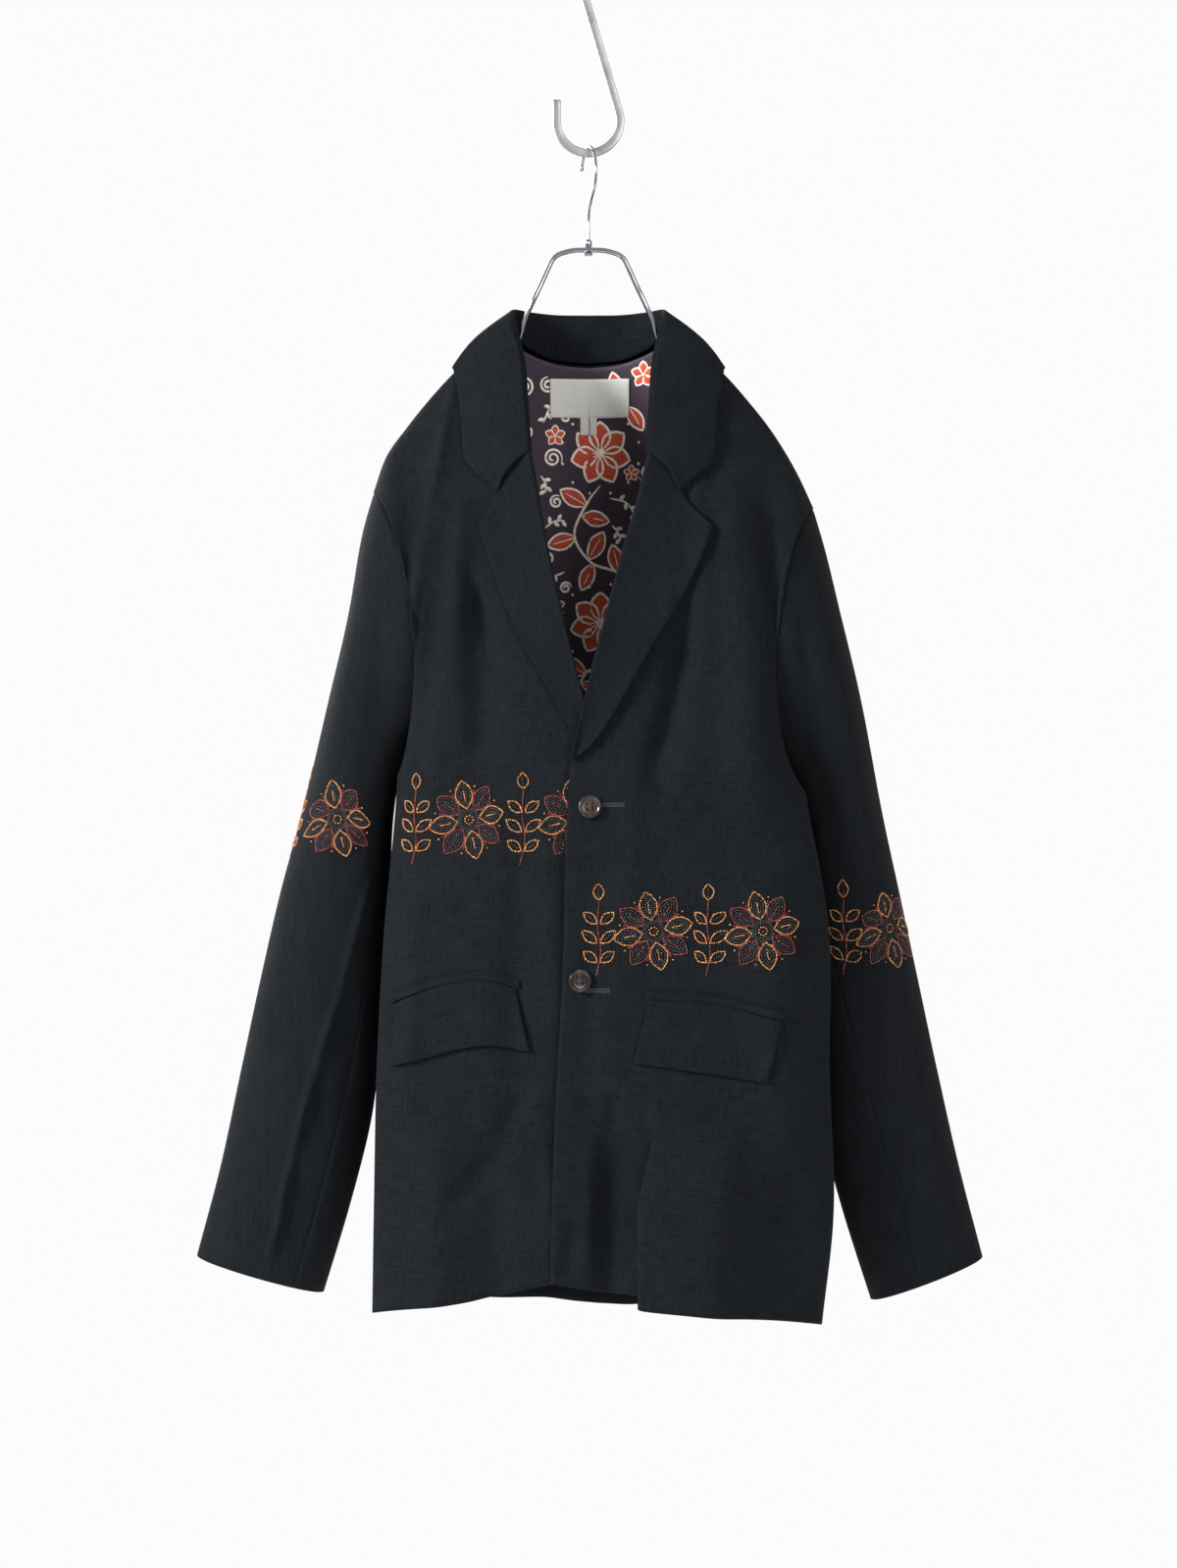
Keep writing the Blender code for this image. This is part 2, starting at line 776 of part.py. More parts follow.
def back_grid(v, columns):
    """Points of the whole back, from its right side seam to its left one."""
    u = np.linspace(0, 1, columns + 1)
    right = body_surface(RIGHT, "back", u[None, :], v[:, None])
    left = body_surface(LEFT, "back", u[None, :], v[:, None])
    middle = (right[:, -1:] + left[:, -1:]) / 2
    return np.concatenate([right[:, :-1], middle, left[:, -2::-1]], axis=1)


def make_back(surface):
    v = np.linspace(0, 1, BODY_ROWS + 1)
    grid = back_grid(v, BACK_COLUMNS)
    facing = normals(grid, (0, 1, 0))
    low = v <= ARMPIT_SHARE
    facing[low, 0] = seam_facing(facing[low, 0])
    facing[low, -1] = seam_facing(facing[low, -1])
    facing[-1] = seam_facing(facing[-1])
    return wall("back", grid, grid - PANEL_WALL * facing, surface)


def make_fronts(surface):
    """The right front has even columns, and the left one has more where its deep fold turns."""
    v = np.linspace(0, 1, BODY_ROWS + 1)
    even = np.linspace(0, 1, FRONT_COLUMNS + 1)
    body_wall("front_right", RIGHT, "front", even, v, surface)
    crowded = np.interp(np.linspace(0, 1, FOLDED_COLUMNS + 1), CROWDED_FROM, CROWDED_TO)
    body_wall("front_left", LEFT, "front", crowded, v, surface)


def seam_turned(side, angle, s):
    """Angles shifted so that the front seam swings forward on its way down to the cuff."""
    angle, s = np.broadcast_arrays(angle, s)
    share = np.where(
        angle < FRONT_SEAM_AT_ARMHOLE,
        np.clip(angle / FRONT_SEAM_AT_ARMHOLE, 0, 1),
        (BACK_SEAM_ANGLE - angle) / (BACK_SEAM_ANGLE - FRONT_SEAM_AT_ARMHOLE),
    )
    swing = FRONT_SEAM_AT_ARMHOLE - FRONT_SEAM_AT_CUFF[side]
    return angle - swing * share * smoothstep((s - SEAM_SWING_FROM) / SEAM_SWING_OVER)


def ring_normals(grid):
    """Unit normals of a closed tube of rings, facing out of it."""
    across = (np.roll(grid, -1, axis=1) - np.roll(grid, 1, axis=1)) / 2
    along = np.gradient(grid, axis=0)
    face = np.cross(across, along)
    face /= np.linalg.norm(face, axis=-1, keepdims=True)
    spoke = grid - grid.mean(axis=1, keepdims=True)
    return face if np.einsum("ijk,ijk->ij", face, spoke).sum() > 0 else -face


def make_sleeves(surface):
    """Each sleeve is cut from one tube of rings, an upper and an under piece with a hair's gap between them."""
    s = np.linspace(0, 1, SLEEVE_ROWS + 1) ** SLEEVE_ROW_POWER
    angle = np.arange(BACK_SEAM_ANGLE - 360.0, BACK_SEAM_ANGLE, SLEEVE_STEP)
    front = int(round((FRONT_SEAM_AT_ARMHOLE - angle[0]) / SLEEVE_STEP))
    for side, word in ((RIGHT, "right"), (LEFT, "left")):
        tube = sleeve_surface(side, seam_turned(side, angle[None, :], s[:, None]), s[:, None])
        facing = ring_normals(tube)
        facing[0, facing[0, :, 0] * side > 0, 0] = 0
        facing[0] /= np.linalg.norm(facing[0], axis=-1, keepdims=True)
        pieces = {
            "upper": np.arange(0, front + 1),
            "under": np.arange(front, len(angle) + 1) % len(angle),
        }
        for piece, columns in pieces.items():
            outer = tube[:, columns]
            inner = outer - SLEEVE_WALL * facing[:, columns]
            for skin in (outer, inner):
                first_step = skin[:, 1] - skin[:, 0]
                last_step = skin[:, -2] - skin[:, -1]
                skin[:, 0] += SEAM_HALF_GAP * first_step / np.linalg.norm(first_step, axis=-1, keepdims=True)
                skin[:, -1] += SEAM_HALF_GAP * last_step / np.linalg.norm(last_step, axis=-1, keepdims=True)
            wall(f"{piece}_sleeve_{word}", outer, inner, surface)


def locate(side, face, x, z):
    """Shares u and v of the panel's points seen at the given x and z, by Newton's method from a coarse start."""
    x, z = np.broadcast_arrays(np.asarray(x, float), np.asarray(z, float))
    grid_u, grid_v = np.meshgrid(np.linspace(SEARCH_FROM_U, 1, SEARCH_COLUMNS), np.linspace(0, 1, SEARCH_ROWS))
    coarse = body_surface(side, face, grid_u, grid_v).reshape(-1, 3)
    far = (coarse[:, 0] - x.reshape(-1, 1)) ** 2 + (coarse[:, 2] - z.reshape(-1, 1)) ** 2
    start = far.argmin(axis=1)
    u = grid_u.reshape(-1)[start].reshape(x.shape)
    v = grid_v.reshape(-1)[start].reshape(x.shape)
    step = SEARCH_STEP
    for _ in range(SEARCH_ROUNDS):
        here = body_surface(side, face, u, v)
        by_u = (here - body_surface(side, face, u - step, v)) / step
        by_v = (here - body_surface(side, face, u, v - step)) / step
        miss_x = x - here[..., 0]
        miss_z = z - here[..., 2]
        area = by_u[..., 0] * by_v[..., 2] - by_v[..., 0] * by_u[..., 2]
        move_u = (miss_x * by_v[..., 2] - miss_z * by_v[..., 0]) / area
        move_v = (miss_z * by_u[..., 0] - miss_x * by_u[..., 2]) / area
        u = np.clip(u + np.clip(move_u, -SEARCH_MOST, SEARCH_MOST), SEARCH_LEAST_U, 1.0)
        v = np.clip(v + np.clip(move_v, -SEARCH_MOST, SEARCH_MOST), 0.0, 1.0)
    return u, v


def lay(side, face, x, z, height):
    """Points over a panel where it is seen at x and z, moved out along its normal by the height."""
    u, v = locate(side, face, x, z)
    step = FACING_STEP
    by_u = body_surface(side, face, u, v) - body_surface(side, face, u - step, v)
    by_v = body_surface(side, face, u, v) - body_surface(side, face, u, v - step)
    facing = np.cross(by_u, by_v)
    facing /= np.linalg.norm(facing, axis=-1, keepdims=True)
    away = -1 if face == "front" else 1
    facing *= np.where(facing[..., 1:2] * away < 0, -1, 1)
    return body_surface(side, face, u, v) + np.asarray(height, float)[..., None] * facing


def lay_back(x, z, height):
    """Points over the back, on the half that x is on."""
    x, z, height = np.broadcast_arrays(x, z, height)
    left = lay(LEFT, "back", np.abs(x), z, height)
    right = lay(RIGHT, "back", -np.abs(x), z, height)
    return np.where((x >= 0)[..., None], left, right)


def make_lapels(surface):
    share = np.linspace(0, 1, LAPEL_ROWS + 1)
    across = np.linspace(0, 1, LAPEL_COLUMNS + 1)
    for side, word in ((RIGHT, "right"), (LEFT, "left")):
        v = LAPEL_TOP_SHARE + (LAPEL_LOW_SHARE - LAPEL_TOP_SHARE) * share
        roll = inner_edge(side, "front", v)[:, None]
        edge = read(LAPELS[side], share)[:, None]
        x = roll[..., 0] + (edge[..., 0] - roll[..., 0]) * across
        z = roll[..., 2] + (edge[..., 1] - roll[..., 2]) * across
        height = LAPEL_LIFT + LAPEL_ROLL * (1 - across) ** 2
        inner = lay(side, "front", x, z, np.broadcast_to(height, x.shape) - COLLAR_WALL)
        outer = lay(side, "front", x, z, np.broadcast_to(height, x.shape))
        wall(f"lapel_{word}", outer, inner, surface)


def collar_half(side):
    """Points of half the collar's fall, from its front end to the middle of the back."""
    short = np.linspace(0, COLLAR_CORNER_SHARE, 3)
    share = np.concatenate([short, np.linspace(COLLAR_CORNER_SHARE, 1, COLLAR_STEPS)[1:]])
    table = read([row[:6] for row in COLLAR], share)
    front_end, corner = (np.array(row[1:6]) for row in COLLAR[:2])
    table[:3] = front_end + (corner - front_end) * (short / COLLAR_CORNER_SHARE)[:, None]
    fold = table[:, :3] * np.array([side, 1, 1])
    edge_x = table[:, 3] * side
    edge_z = table[:, 4]
    on_front = share < SHOULDER_SHARE
    lift = COLLAR_LIFT + COLLAR_SHOULDER_LIFT * np.exp(-(((share - SHOULDER_SHARE) / SHOULDER_SPREAD) ** 2))
    front = lay(side, "front", edge_x, edge_z, lift)
    back = lay(side, "back", edge_x, edge_z, lift)
    edge = np.where(on_front[:, None], front, back)
    across = np.linspace(0, 1, COLLAR_COLUMNS + 1)[None, :, None]
    points = fold[:, None] * (1 - across) + edge[:, None] * across
    outward = edge * np.array([1, 1, 0])
    outward /= np.linalg.norm(outward, axis=-1, keepdims=True)
    points += COLLAR_BULGE * np.sin(np.pi * across) * (outward[:, None] + np.array([0, 0, COLLAR_BULGE_UP]))
    return points


def make_collar(surface):
    grid = np.concatenate([collar_half(RIGHT)[:-1], collar_half(LEFT)[::-1]])
    facing = normals(grid, (0, 1, 0))
    wall("collar", grid + COLLAR_WALL * facing, grid, surface)


def make_stand(surface):
    halves = []
    for side in (RIGHT, LEFT):
        share = np.linspace(STAND_FROM, 1, COLLAR_STEPS)
        foot = read(STAND_FOOT, share) * np.array([side, 1, 1])
        fold = read([row[:4] for row in COLLAR], share) * np.array([side, 1, 1])
        inward = fold * np.array([-1, -1, 0]) + np.array([0, STAND_LEAN_BACK, 0])
        inward /= np.linalg.norm(inward, axis=-1, keepdims=True)
        head = fold + STAND_INSET * inward - np.array([0, 0, STAND_DROP])
        up = np.linspace(0, 1, STAND_ROWS + 1)[None, :, None]
        halves.append(foot[:, None] * (1 - up) + head[:, None] * up)
    grid = np.concatenate([halves[0][:-1], halves[1][::-1]])
    facing = normals(grid, (0, -1, 0))
    wall("collar_stand", grid, grid + COLLAR_WALL * facing, surface)


def make_pockets(surface):
    share = np.linspace(0, 1, FLAP_COLUMNS + 1)[None, :]
    down = np.linspace(0, 1, FLAP_ROWS + 1)[:, None]
    for side, word in ((RIGHT, "right"), (LEFT, "left")):
        table = read(FLAPS[side], share[0])
        x = table[:, 0] * (1 - down) + table[:, 2] * down
        z = table[:, 1] * (1 - down) + table[:, 3] * down
        height = FLAP_LIFT + FLAP_SWELL * np.sin(np.pi * down / FLAP_SWELL_SPAN) + 0 * x
        inner = lay(side, "front", x, z, height)
        outer = lay(side, "front", x, z, height + FLAP_WALL)
        wall(f"pocket_flap_{word}", outer, inner, surface)
        stretch = 1 + 2 * WELT_OVERHANG / abs(table[0, 0] - table[-1, 0])
        middle = (table[0, 0] + table[-1, 0]) / 2
        welt_x = middle + (table[:, 0] - middle) * stretch
        x = np.stack([welt_x, welt_x])
        z = np.stack([table[:, 1] + WELT_GAP + WELT_TALL, table[:, 1] + WELT_GAP])
        inner = lay(side, "front", x, z, np.full(x.shape, WELT_LIFT))
        outer = lay(side, "front", x, z, np.full(x.shape, WELT_LIFT + WELT_WALL))
        wall(f"pocket_welt_{word}", outer, inner, surface)


def make_back_lining(surface):
    u = np.linspace(LINING_FROM, 1, LINING_COLUMNS + 1)[None, :]
    climb = smoothstep((u - LINING_SLOPE_FROM) / LINING_SLOPE_OVER)
    top = LINING_SIDE_SHARE + (LINING_TOP_SHARE - LINING_SIDE_SHARE) * climb
    v = LINING_LOW_SHARE + (top - LINING_LOW_SHARE) * np.linspace(0, 1, LINING_ROWS + 1)[:, None]
    right = body_surface(RIGHT, "back", u, v)
    left = body_surface(LEFT, "back", u, v)
    middle = (right[:, -1:] + left[:, -1:]) / 2
    grid = np.concatenate([right[:, :-1], middle, left[:, -2::-1]], axis=1)
    facing = normals(grid, (0, 1, 0))
    near = grid - (PANEL_WALL + LINING_OFF) * facing
    wall("back_lining", near, near - LINING_WALL * facing, surface)


def make_labels(surface):
    depth = PANEL_WALL + LINING_OFF + LINING_WALL + LABEL_OFF
    for name, box, columns in (("label", LABEL_BOX, 8), ("size_tab", SIZE_TAB_BOX, 2)):
        x = np.linspace(box[0], box[1], columns + 1)[None, :]
        z = np.linspace(box[3], box[2], 3)[:, None]
        near = lay_back(x, z, -depth)
        far = lay_back(x, z, -depth - LABEL_WALL)
        wall(name, near, far, surface)


def turned(name, profile, centre, axis, sides, surface):
    """A solid turned about an axis through the centre, from pairs of radius and height."""
    axis = np.asarray(axis, float) / np.linalg.norm(axis)
    helper = np.array([0.0, 0.0, 1.0]) if abs(axis[2]) < 0.9 else np.array([0.0, 1.0, 0.0])
    first = np.cross(helper, axis)
    first /= np.linalg.norm(first)
    second = np.cross(axis, first)
    turn = np.linspace(0, 2 * np.pi, sides, endpoint=False)[:, None]
    ring = np.cos(turn) * first + np.sin(turn) * second
    points = []
    rings = []
    for radius, height in profile:
        base = np.asarray(centre, float) + height * axis
        if radius == 0:
            rings.append([len(points)])
            points.append(base)
            continue
        rings.append(list(range(len(points), len(points) + sides)))
        points.extend(base + radius * ring)
    faces = []
    for low, high in zip(rings, rings[1:]):
        for k in range(sides):
            n = (k + 1) % sides
            if len(low) == 1:
                faces.append((low[0], high[n], high[k]))
            elif len(high) == 1:
                faces.append((low[k], low[n], high[0]))
            else:
                faces.append((low[k], low[n], high[n], high[k]))
    return mesh_object(name, points, faces, surface)


def make_buttons(surface):
    """Four-hole buttons on the left front, each cut through by one helper of four pins."""
    for place in BUTTONS:
        spot = lay(LEFT, "front", np.array([place.x]), np.array([place.z]), np.array([BUTTON_LIFT]))[0]
        root = lay(LEFT, "front", np.array([place.x]), np.array([place.z]), np.array([0.0]))[0]
        axis = (spot - root) / np.linalg.norm(spot - root)
        profile = [(share * BUTTON_ACROSS / 2, height) for share, height in BUTTON_PROFILE]
        button = turned(place.name, profile, spot, axis, BUTTON_SIDES, surface)
        hole = BUTTON_HOLE_ACROSS / 2
        for k in range(4):
            corner = np.radians(45 + 90 * k)
            pin_spot = spot + BUTTON_HOLE_PLACE * np.array([np.cos(corner), 0, np.sin(corner)])
            pin = turned(
                f"{place.name}_pin_{k}",
                [(0, PIN_FROM), (hole, PIN_FROM), (hole, PIN_TO), (0, PIN_TO)],
                pin_spot,
                axis,
                PIN_SIDES,
                surface,
            )
            pin.hide_render = True
            pin.display_type = "WIRE"
            cut = button.modifiers.new(f"hole_{k}", "BOOLEAN")
            cut.operation = "DIFFERENCE"
            cut.object = pin


def sweep(name, path, radii, section, normal, surface):
    """A bar along a path: the section's first number is across the path, its second along the given normal."""
    path = np.asarray(path, float)
    tangent = np.gradient(path, axis=0)
    tangent /= np.linalg.norm(tangent, axis=-1, keepdims=True)
    across = np.cross(tangent, normal)
    across /= np.linalg.norm(across, axis=-1, keepdims=True)
    third = np.cross(across, tangent)
    section = np.asarray(section, float)
    rings = path[:, None] + radii[:, None, None] * (
        across[:, None] * section[None, :, :1] + third[:, None] * section[None, :, 1:]
    )
    count, sides = rings.shape[:2]
    faces = [tuple(range(sides)), tuple(reversed(range((count - 1) * sides, count * sides)))]
    for r in range(count - 1):
        for k in range(sides):
            n = (k + 1) % sides
            faces.append((r * sides + n, r * sides + k, (r + 1) * sides + k, (r + 1) * sides + n))
    return mesh_object(name, rings.reshape(-1, 3), faces, surface)


def circle(sides):
    turn = np.linspace(0, 2 * np.pi, sides, endpoint=False)
    return np.stack([np.cos(turn), np.sin(turn)], axis=-1)


def bar_arm(side):
    """Half of the hanger's bar, from its middle to the shoulder's end."""
    neck = np.array([(side * point.x, point.y, point.z) for point in BAR_NECK])
    share = np.linspace(1 - BAR_ARM_FROM, 1 - BAR_ARM_TO, BAR_ARM_POINTS)
    arm = read(SHOULDERS[side], share) - np.array([0, 0, BAR_BELOW_SEAM])
    route = np.concatenate([neck, arm])
    length = np.concatenate([[0], np.cumsum(np.linalg.norm(np.diff(route, axis=0), axis=1))])
    return spline(length, route, np.linspace(0, length[-1], BAR_RINGS))


def make_hanger(chrome):
    right = bar_arm(RIGHT)
    left = bar_arm(LEFT)
    path = np.concatenate([right[::-1], left[1:]])
    radii = np.full(len(path), BAR_ACROSS / 2)
    radii[[0, -1]] *= BAR_TIP_SHARE
    sweep("hanger_bar", path, radii, circle(BAR_SIDES), (0, 1, 0), chrome)
    ferrule_low = BAR_TOP_Z + BAR_ACROSS / 2 + TOUCH_GAP
    ferrule_top = ferrule_low + FERRULE_TALL
    r = FERRULE_ACROSS / 2
    shoulder = FERRULE_TALL * FERRULE_SHOULDER
    profile = [(0, 0), (r, 0), (r, shoulder), (r * FERRULE_NECK, FERRULE_TALL), (0, FERRULE_TALL)]
    turned("hanger_ferrule", profile, (0, 0, ferrule_low), (0, 0, 1), FERRULE_SIDES, chrome)
    nut_top = BAR_TOP_Z - BAR_ACROSS / 2 - TOUCH_GAP
    r = NUT_ACROSS / 2
    profile = [(0, 0), (r, 0), (r, NUT_TALL), (0, NUT_TALL)]
    turned("hanger_nut", profile, (0, 0, nut_top - NUT_TALL), (0, 0, 1), NUT_SIDES, chrome)
    make_hanger_hook(ferrule_top + TOUCH_GAP, chrome)


def make_hanger_hook(foot_z, chrome):
    """The wire hook: an arc over the S-hook's lower bend, an easy bend back and a straight stem."""
    turn = np.radians(WIRE_TURN)
    forward = np.array([np.sin(turn), -np.cos(turn), 0.0])
    up = np.array([0.0, 0.0, 1.0])
    apex_z = S_HOOK_LOW_Z - S_HOOK_INNER + WIRE_ACROSS / 2 + TOUCH_GAP
    centre_z = apex_z - WIRE_RADIUS
    angle = np.radians(np.linspace(WIRE_TIP_ANGLE, WIRE_LOW_ANGLE, WIRE_ARC_POINTS))
    arc = [(WIRE_RADIUS * np.cos(a), centre_z + WIRE_RADIUS * np.sin(a)) for a in angle]
    bend_z = arc[-1][1]
    tail = [(point.forward, bend_z - point.below) for point in WIRE_TAIL] + [(0.0, foot_z)]
    route = np.array([f * forward + z * up for f, z in arc + tail])
    length = np.concatenate([[0], np.cumsum(np.linalg.norm(np.diff(route, axis=0), axis=1))])
    ball = WIRE_BALL_ACROSS / 2
    near = np.array(WIRE_BALL_PLACES) * ball
    places = np.concatenate([near, np.linspace(near[-1] + ball, length[-1], WIRE_RINGS)])
    radii = np.full(len(places), WIRE_ACROSS / 2)
    swell = np.sqrt(np.maximum(0, ball**2 - (near - ball) ** 2))
    radii[: len(near)] = np.maximum(swell, np.where(near > ball, WIRE_ACROSS / 2, WIRE_TIP_ACROSS / 2))
    sweep("hanger_hook", spline(length, route, places), radii, circle(WIRE_SIDES), np.cross(forward, up), chrome)


def make_s_hook(steel):
    """The flat S-hook: two bends about one middle point, each the other turned by half a turn."""
    radius = S_HOOK_INNER + S_HOOK_BAR_WIDE / 2
    low = np.array([0.0, S_HOOK_LOW_Z])
    turn = np.radians(np.linspace(180, 360 + S_HOOK_LEAN, S_HOOK_BEND_RINGS))
    bend = low + radius * np.stack([np.cos(turn), np.sin(turn)], axis=-1)
    tip = np.array([[-radius, S_HOOK_LOW_Z + S_HOOK_TIP], [-radius, S_HOOK_LOW_Z + S_HOOK_TIP / 2]])
    lower = np.concatenate([tip, bend])
    middle = np.array([0.0, (S_HOOK_LOW_Z - S_HOOK_INNER) / 2])
    upper = 2 * middle - lower[::-1]
    flat = np.concatenate([lower, middle[None], upper])
    path = np.stack([flat[:, 0], np.zeros(len(flat)), flat[:, 1]], axis=-1)
    wide = S_HOOK_BAR_WIDE / 2
    deep = S_HOOK_BAR_DEEP / 2
    bevel = S_HOOK_BEVEL
    section = [
        (-wide, -deep + bevel),
        (-wide + bevel, -deep),
        (wide - bevel, -deep),
        (wide, -deep + bevel),
        (wide, deep - bevel),
        (wide - bevel, deep),
        (-wide + bevel, deep),
        (-wide, deep - bevel),
    ]
    sweep("s_hook", path, np.ones(len(path)), section, (0, 1, 0), steel)


def clear_scene():
    for old in list(bpy.data.objects):
        bpy.data.objects.remove(old, do_unlink=True)


def main():
    clear_scene()
    cloth = material("blazer_cloth", (0.012, 0.014, 0.019), 0.9)
    make_back(cloth)
    make_fronts(cloth)
    make_sleeves(cloth)
    make_lapels(cloth)
    make_collar(cloth)
    make_stand(cloth)
    make_pockets(cloth)
    make_back_lining(material("printed_lining", (0.045, 0.03, 0.035), 0.6))
    make_labels(material("woven_label", (0.8, 0.79, 0.75), 0.7))
    make_buttons(material("dark_horn", (0.02, 0.015, 0.012), 0.3))
    make_hanger(material("chrome", (0.75, 0.75, 0.76), 0.12, 1.0))
    make_s_hook(material("satin_steel", (0.55, 0.55, 0.56), 0.32, 1.0))


main()
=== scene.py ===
"""The looks of a two-button blazer on a chrome hanger and a flat steel S-hook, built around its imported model.

X runs to the viewer's right, Y away from the viewer and Z up, from the inner top of the S-hook's upper bend.
Left and right are the wearer's, so the left front is at +X. All sizes are in millimetres, and a mesh is
scaled to metres as it is made. Only the studio and the cuts are in metres. Each cloth piece is a thin wall on
the same form as its solid, with finer folds.
"""

import logging
from collections.abc import Sequence
from dataclasses import dataclass
from enum import Enum, IntEnum
from typing import NamedTuple

import bpy
import numpy as np
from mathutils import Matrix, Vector


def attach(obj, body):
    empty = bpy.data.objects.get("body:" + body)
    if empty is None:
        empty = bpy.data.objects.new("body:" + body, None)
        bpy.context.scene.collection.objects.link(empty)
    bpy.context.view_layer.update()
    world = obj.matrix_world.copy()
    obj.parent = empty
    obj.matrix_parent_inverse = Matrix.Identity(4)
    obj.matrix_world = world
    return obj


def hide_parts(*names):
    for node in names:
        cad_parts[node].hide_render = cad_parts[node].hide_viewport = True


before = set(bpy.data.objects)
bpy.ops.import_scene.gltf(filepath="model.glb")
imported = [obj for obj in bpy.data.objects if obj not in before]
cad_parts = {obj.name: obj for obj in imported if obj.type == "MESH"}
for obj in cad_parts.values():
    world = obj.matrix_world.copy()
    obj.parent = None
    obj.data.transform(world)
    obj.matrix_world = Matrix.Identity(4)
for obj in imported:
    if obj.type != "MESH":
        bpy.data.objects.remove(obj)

Array = np.ndarray
LOG = logging.getLogger("blazer")
MM = 0.001
UP = np.array([0.0, 0.0, 1.0])

# Walls and seams, as in the solids
PANEL_WALL = 2.0
SLEEVE_WALL = 1.8
COLLAR_WALL = 1.8
FLAP_WALL = 1.6
WELT_WALL = 1.4
LINING_WALL = 1.0
LABEL_WALL = 0.6
SEAM_HALF_GAP = 0.2

# Sleeve ends: shift outward, tuck inward, the share they shrink by, and the share of the length it reaches
ARMHOLE_SHIFT = -0.3
ARMHOLE_TUCK = 1.8
ARMHOLE_SINK = 0.01
TUCK_REACH = 0.005

# Roundness of the rims, and how much fuller creases and folds are than their tables say
RIM_BULGE = 0.45
CREASE_GAIN = 2.0
FOLD_GAIN = 1.35

# Shares of a body panel's height
ARMPIT_SHARE = 0.5
TOP_BLEND_SHARE = 0.74
NECK_SHARE_OF_BACK = 0.66

# Plan of the body
BODY_SQUARENESS = 4.0
QUARTER_WIDE = 160.0
QUARTER_DEEP = 100.0
QUARTER_STEPS = 1201
RIDGE_FROM = 0.12
RIDGE_TO = 0.62
RIDGE_FADE = 0.17
SIDE_SEAM_Y = 5.0

# The deep fold on the left front
DEEP_FOLD_TOP_Z = -948.0
DEEP_FOLD_FULL_Z = -1060.0
DEEP_FOLD_X = 50.0
DEEP_FOLD_SPREAD = 20.0
DEEP_FOLD_REACH = 58.0
DEEP_FOLD_DEPTH = 24.0
DEEP_FOLD_TURN = 0.6


class Side(IntEnum):
    """A wearer's side, whose value is the sign of X."""

    RIGHT = -1
    LEFT = 1

    @property
    def word(self) -> str:
        """The side's word in a piece's name."""
        return self.name.lower()


class Face(Enum):
    """The front or the back of the body, whose value is the sign of Y that faces out."""

    FRONT = -1
    BACK = 1


class SideLevel(NamedTuple):
    """One level of a side of the body, below the armpit."""

    share: float
    z: float
    seam_x: float
    front_ridge: float
    back_ridge: float


class Point(NamedTuple):
    """One point of an edge or a seam, at its share of the way along."""

    share: float
    x: float
    y: float
    z: float


class Armhole(NamedTuple):
    """The four ends of an armhole loop."""

    top: tuple
    bottom: tuple
    fore: tuple
    aft: tuple


class SleeveRing(NamedTuple):
    """One ring of a sleeve: its outer and inner ends and how far it reaches to the front and back."""

    share: float
    out_x: float
    out_z: float
    in_x: float
    in_z: float
    fore_y: float
    aft_y: float
    fore_shift: float
    aft_shift: float


class Fold(NamedTuple):
    """A soft ridge or, with a negative rise, a trough, down a front or back panel."""

    side: Side
    face: Face
    top_x: float
    top_z: float
    bottom_x: float
    bottom_z: float
    rise: float
    half_width: float


class Crease(NamedTuple):
    """A short crease between two places as seen: a ridge, or a trough if the rise is negative."""

    x0: float
    z0: float
    x1: float
    z1: float
    rise: float
    half_width: float


SIDES = {
    Side.RIGHT: (
        SideLevel(0.00, -1140, -154, 27, 12),
        SideLevel(0.12, -1050, -153, 27, 12),
        SideLevel(0.25, -940, -152, 26, 11),
        SideLevel(0.38, -830, -151, 20, 8),
        SideLevel(0.50, -720, -150, 6, 2),
    ),
    Side.LEFT: (
        SideLevel(0.00, -1149, 168, 30, 12),
        SideLevel(0.12, -1060, 173, 35, 12),
        SideLevel(0.25, -950, 172, 32, 11),
        SideLevel(0.38, -840, 169, 34, 8),
        SideLevel(0.50, -735, 165, 17, 2),
    ),
}

FRONT_EDGES = {
    Side.RIGHT: (
        Point(0.00, -12, -95, -1108),
        Point(0.15, -2, -96, -1000),
        Point(0.32, 12, -97, -860),
        Point(0.45, 17, -97, -750),
        Point(0.50, 12, -94, -708),
        Point(0.56, -3, -88, -664),
        Point(0.68, -28, -68, -562),
        Point(0.84, -46, -40, -466),
        Point(0.93, -59, -8, -398),
        Point(1.00, -66, 14, -368),
    ),
    Side.LEFT: (
        Point(0.00, -29, -102, -1110),
        Point(0.15, -26, -103, -1000),
        Point(0.32, -19, -104, -860),
        Point(0.45, -16, -104, -750),
        Point(0.50, -13, -101, -712),
        Point(0.56, -3, -95, -664),
        Point(0.68, 22, -71, -564),
        Point(0.84, 46, -41, -474),
        Point(0.93, 60, -8, -398),
        Point(1.00, 67, 14, -368),
    ),
}

BACK_MIDDLE = (
    Point(0.00, 8, 92, -1152),
    Point(0.25, 7, 95, -940),
    Point(0.50, 4, 96, -724),
    Point(0.70, 2, 90, -560),
    Point(0.88, 0, 68, -440),
    Point(1.00, 0, 50, -389),
)

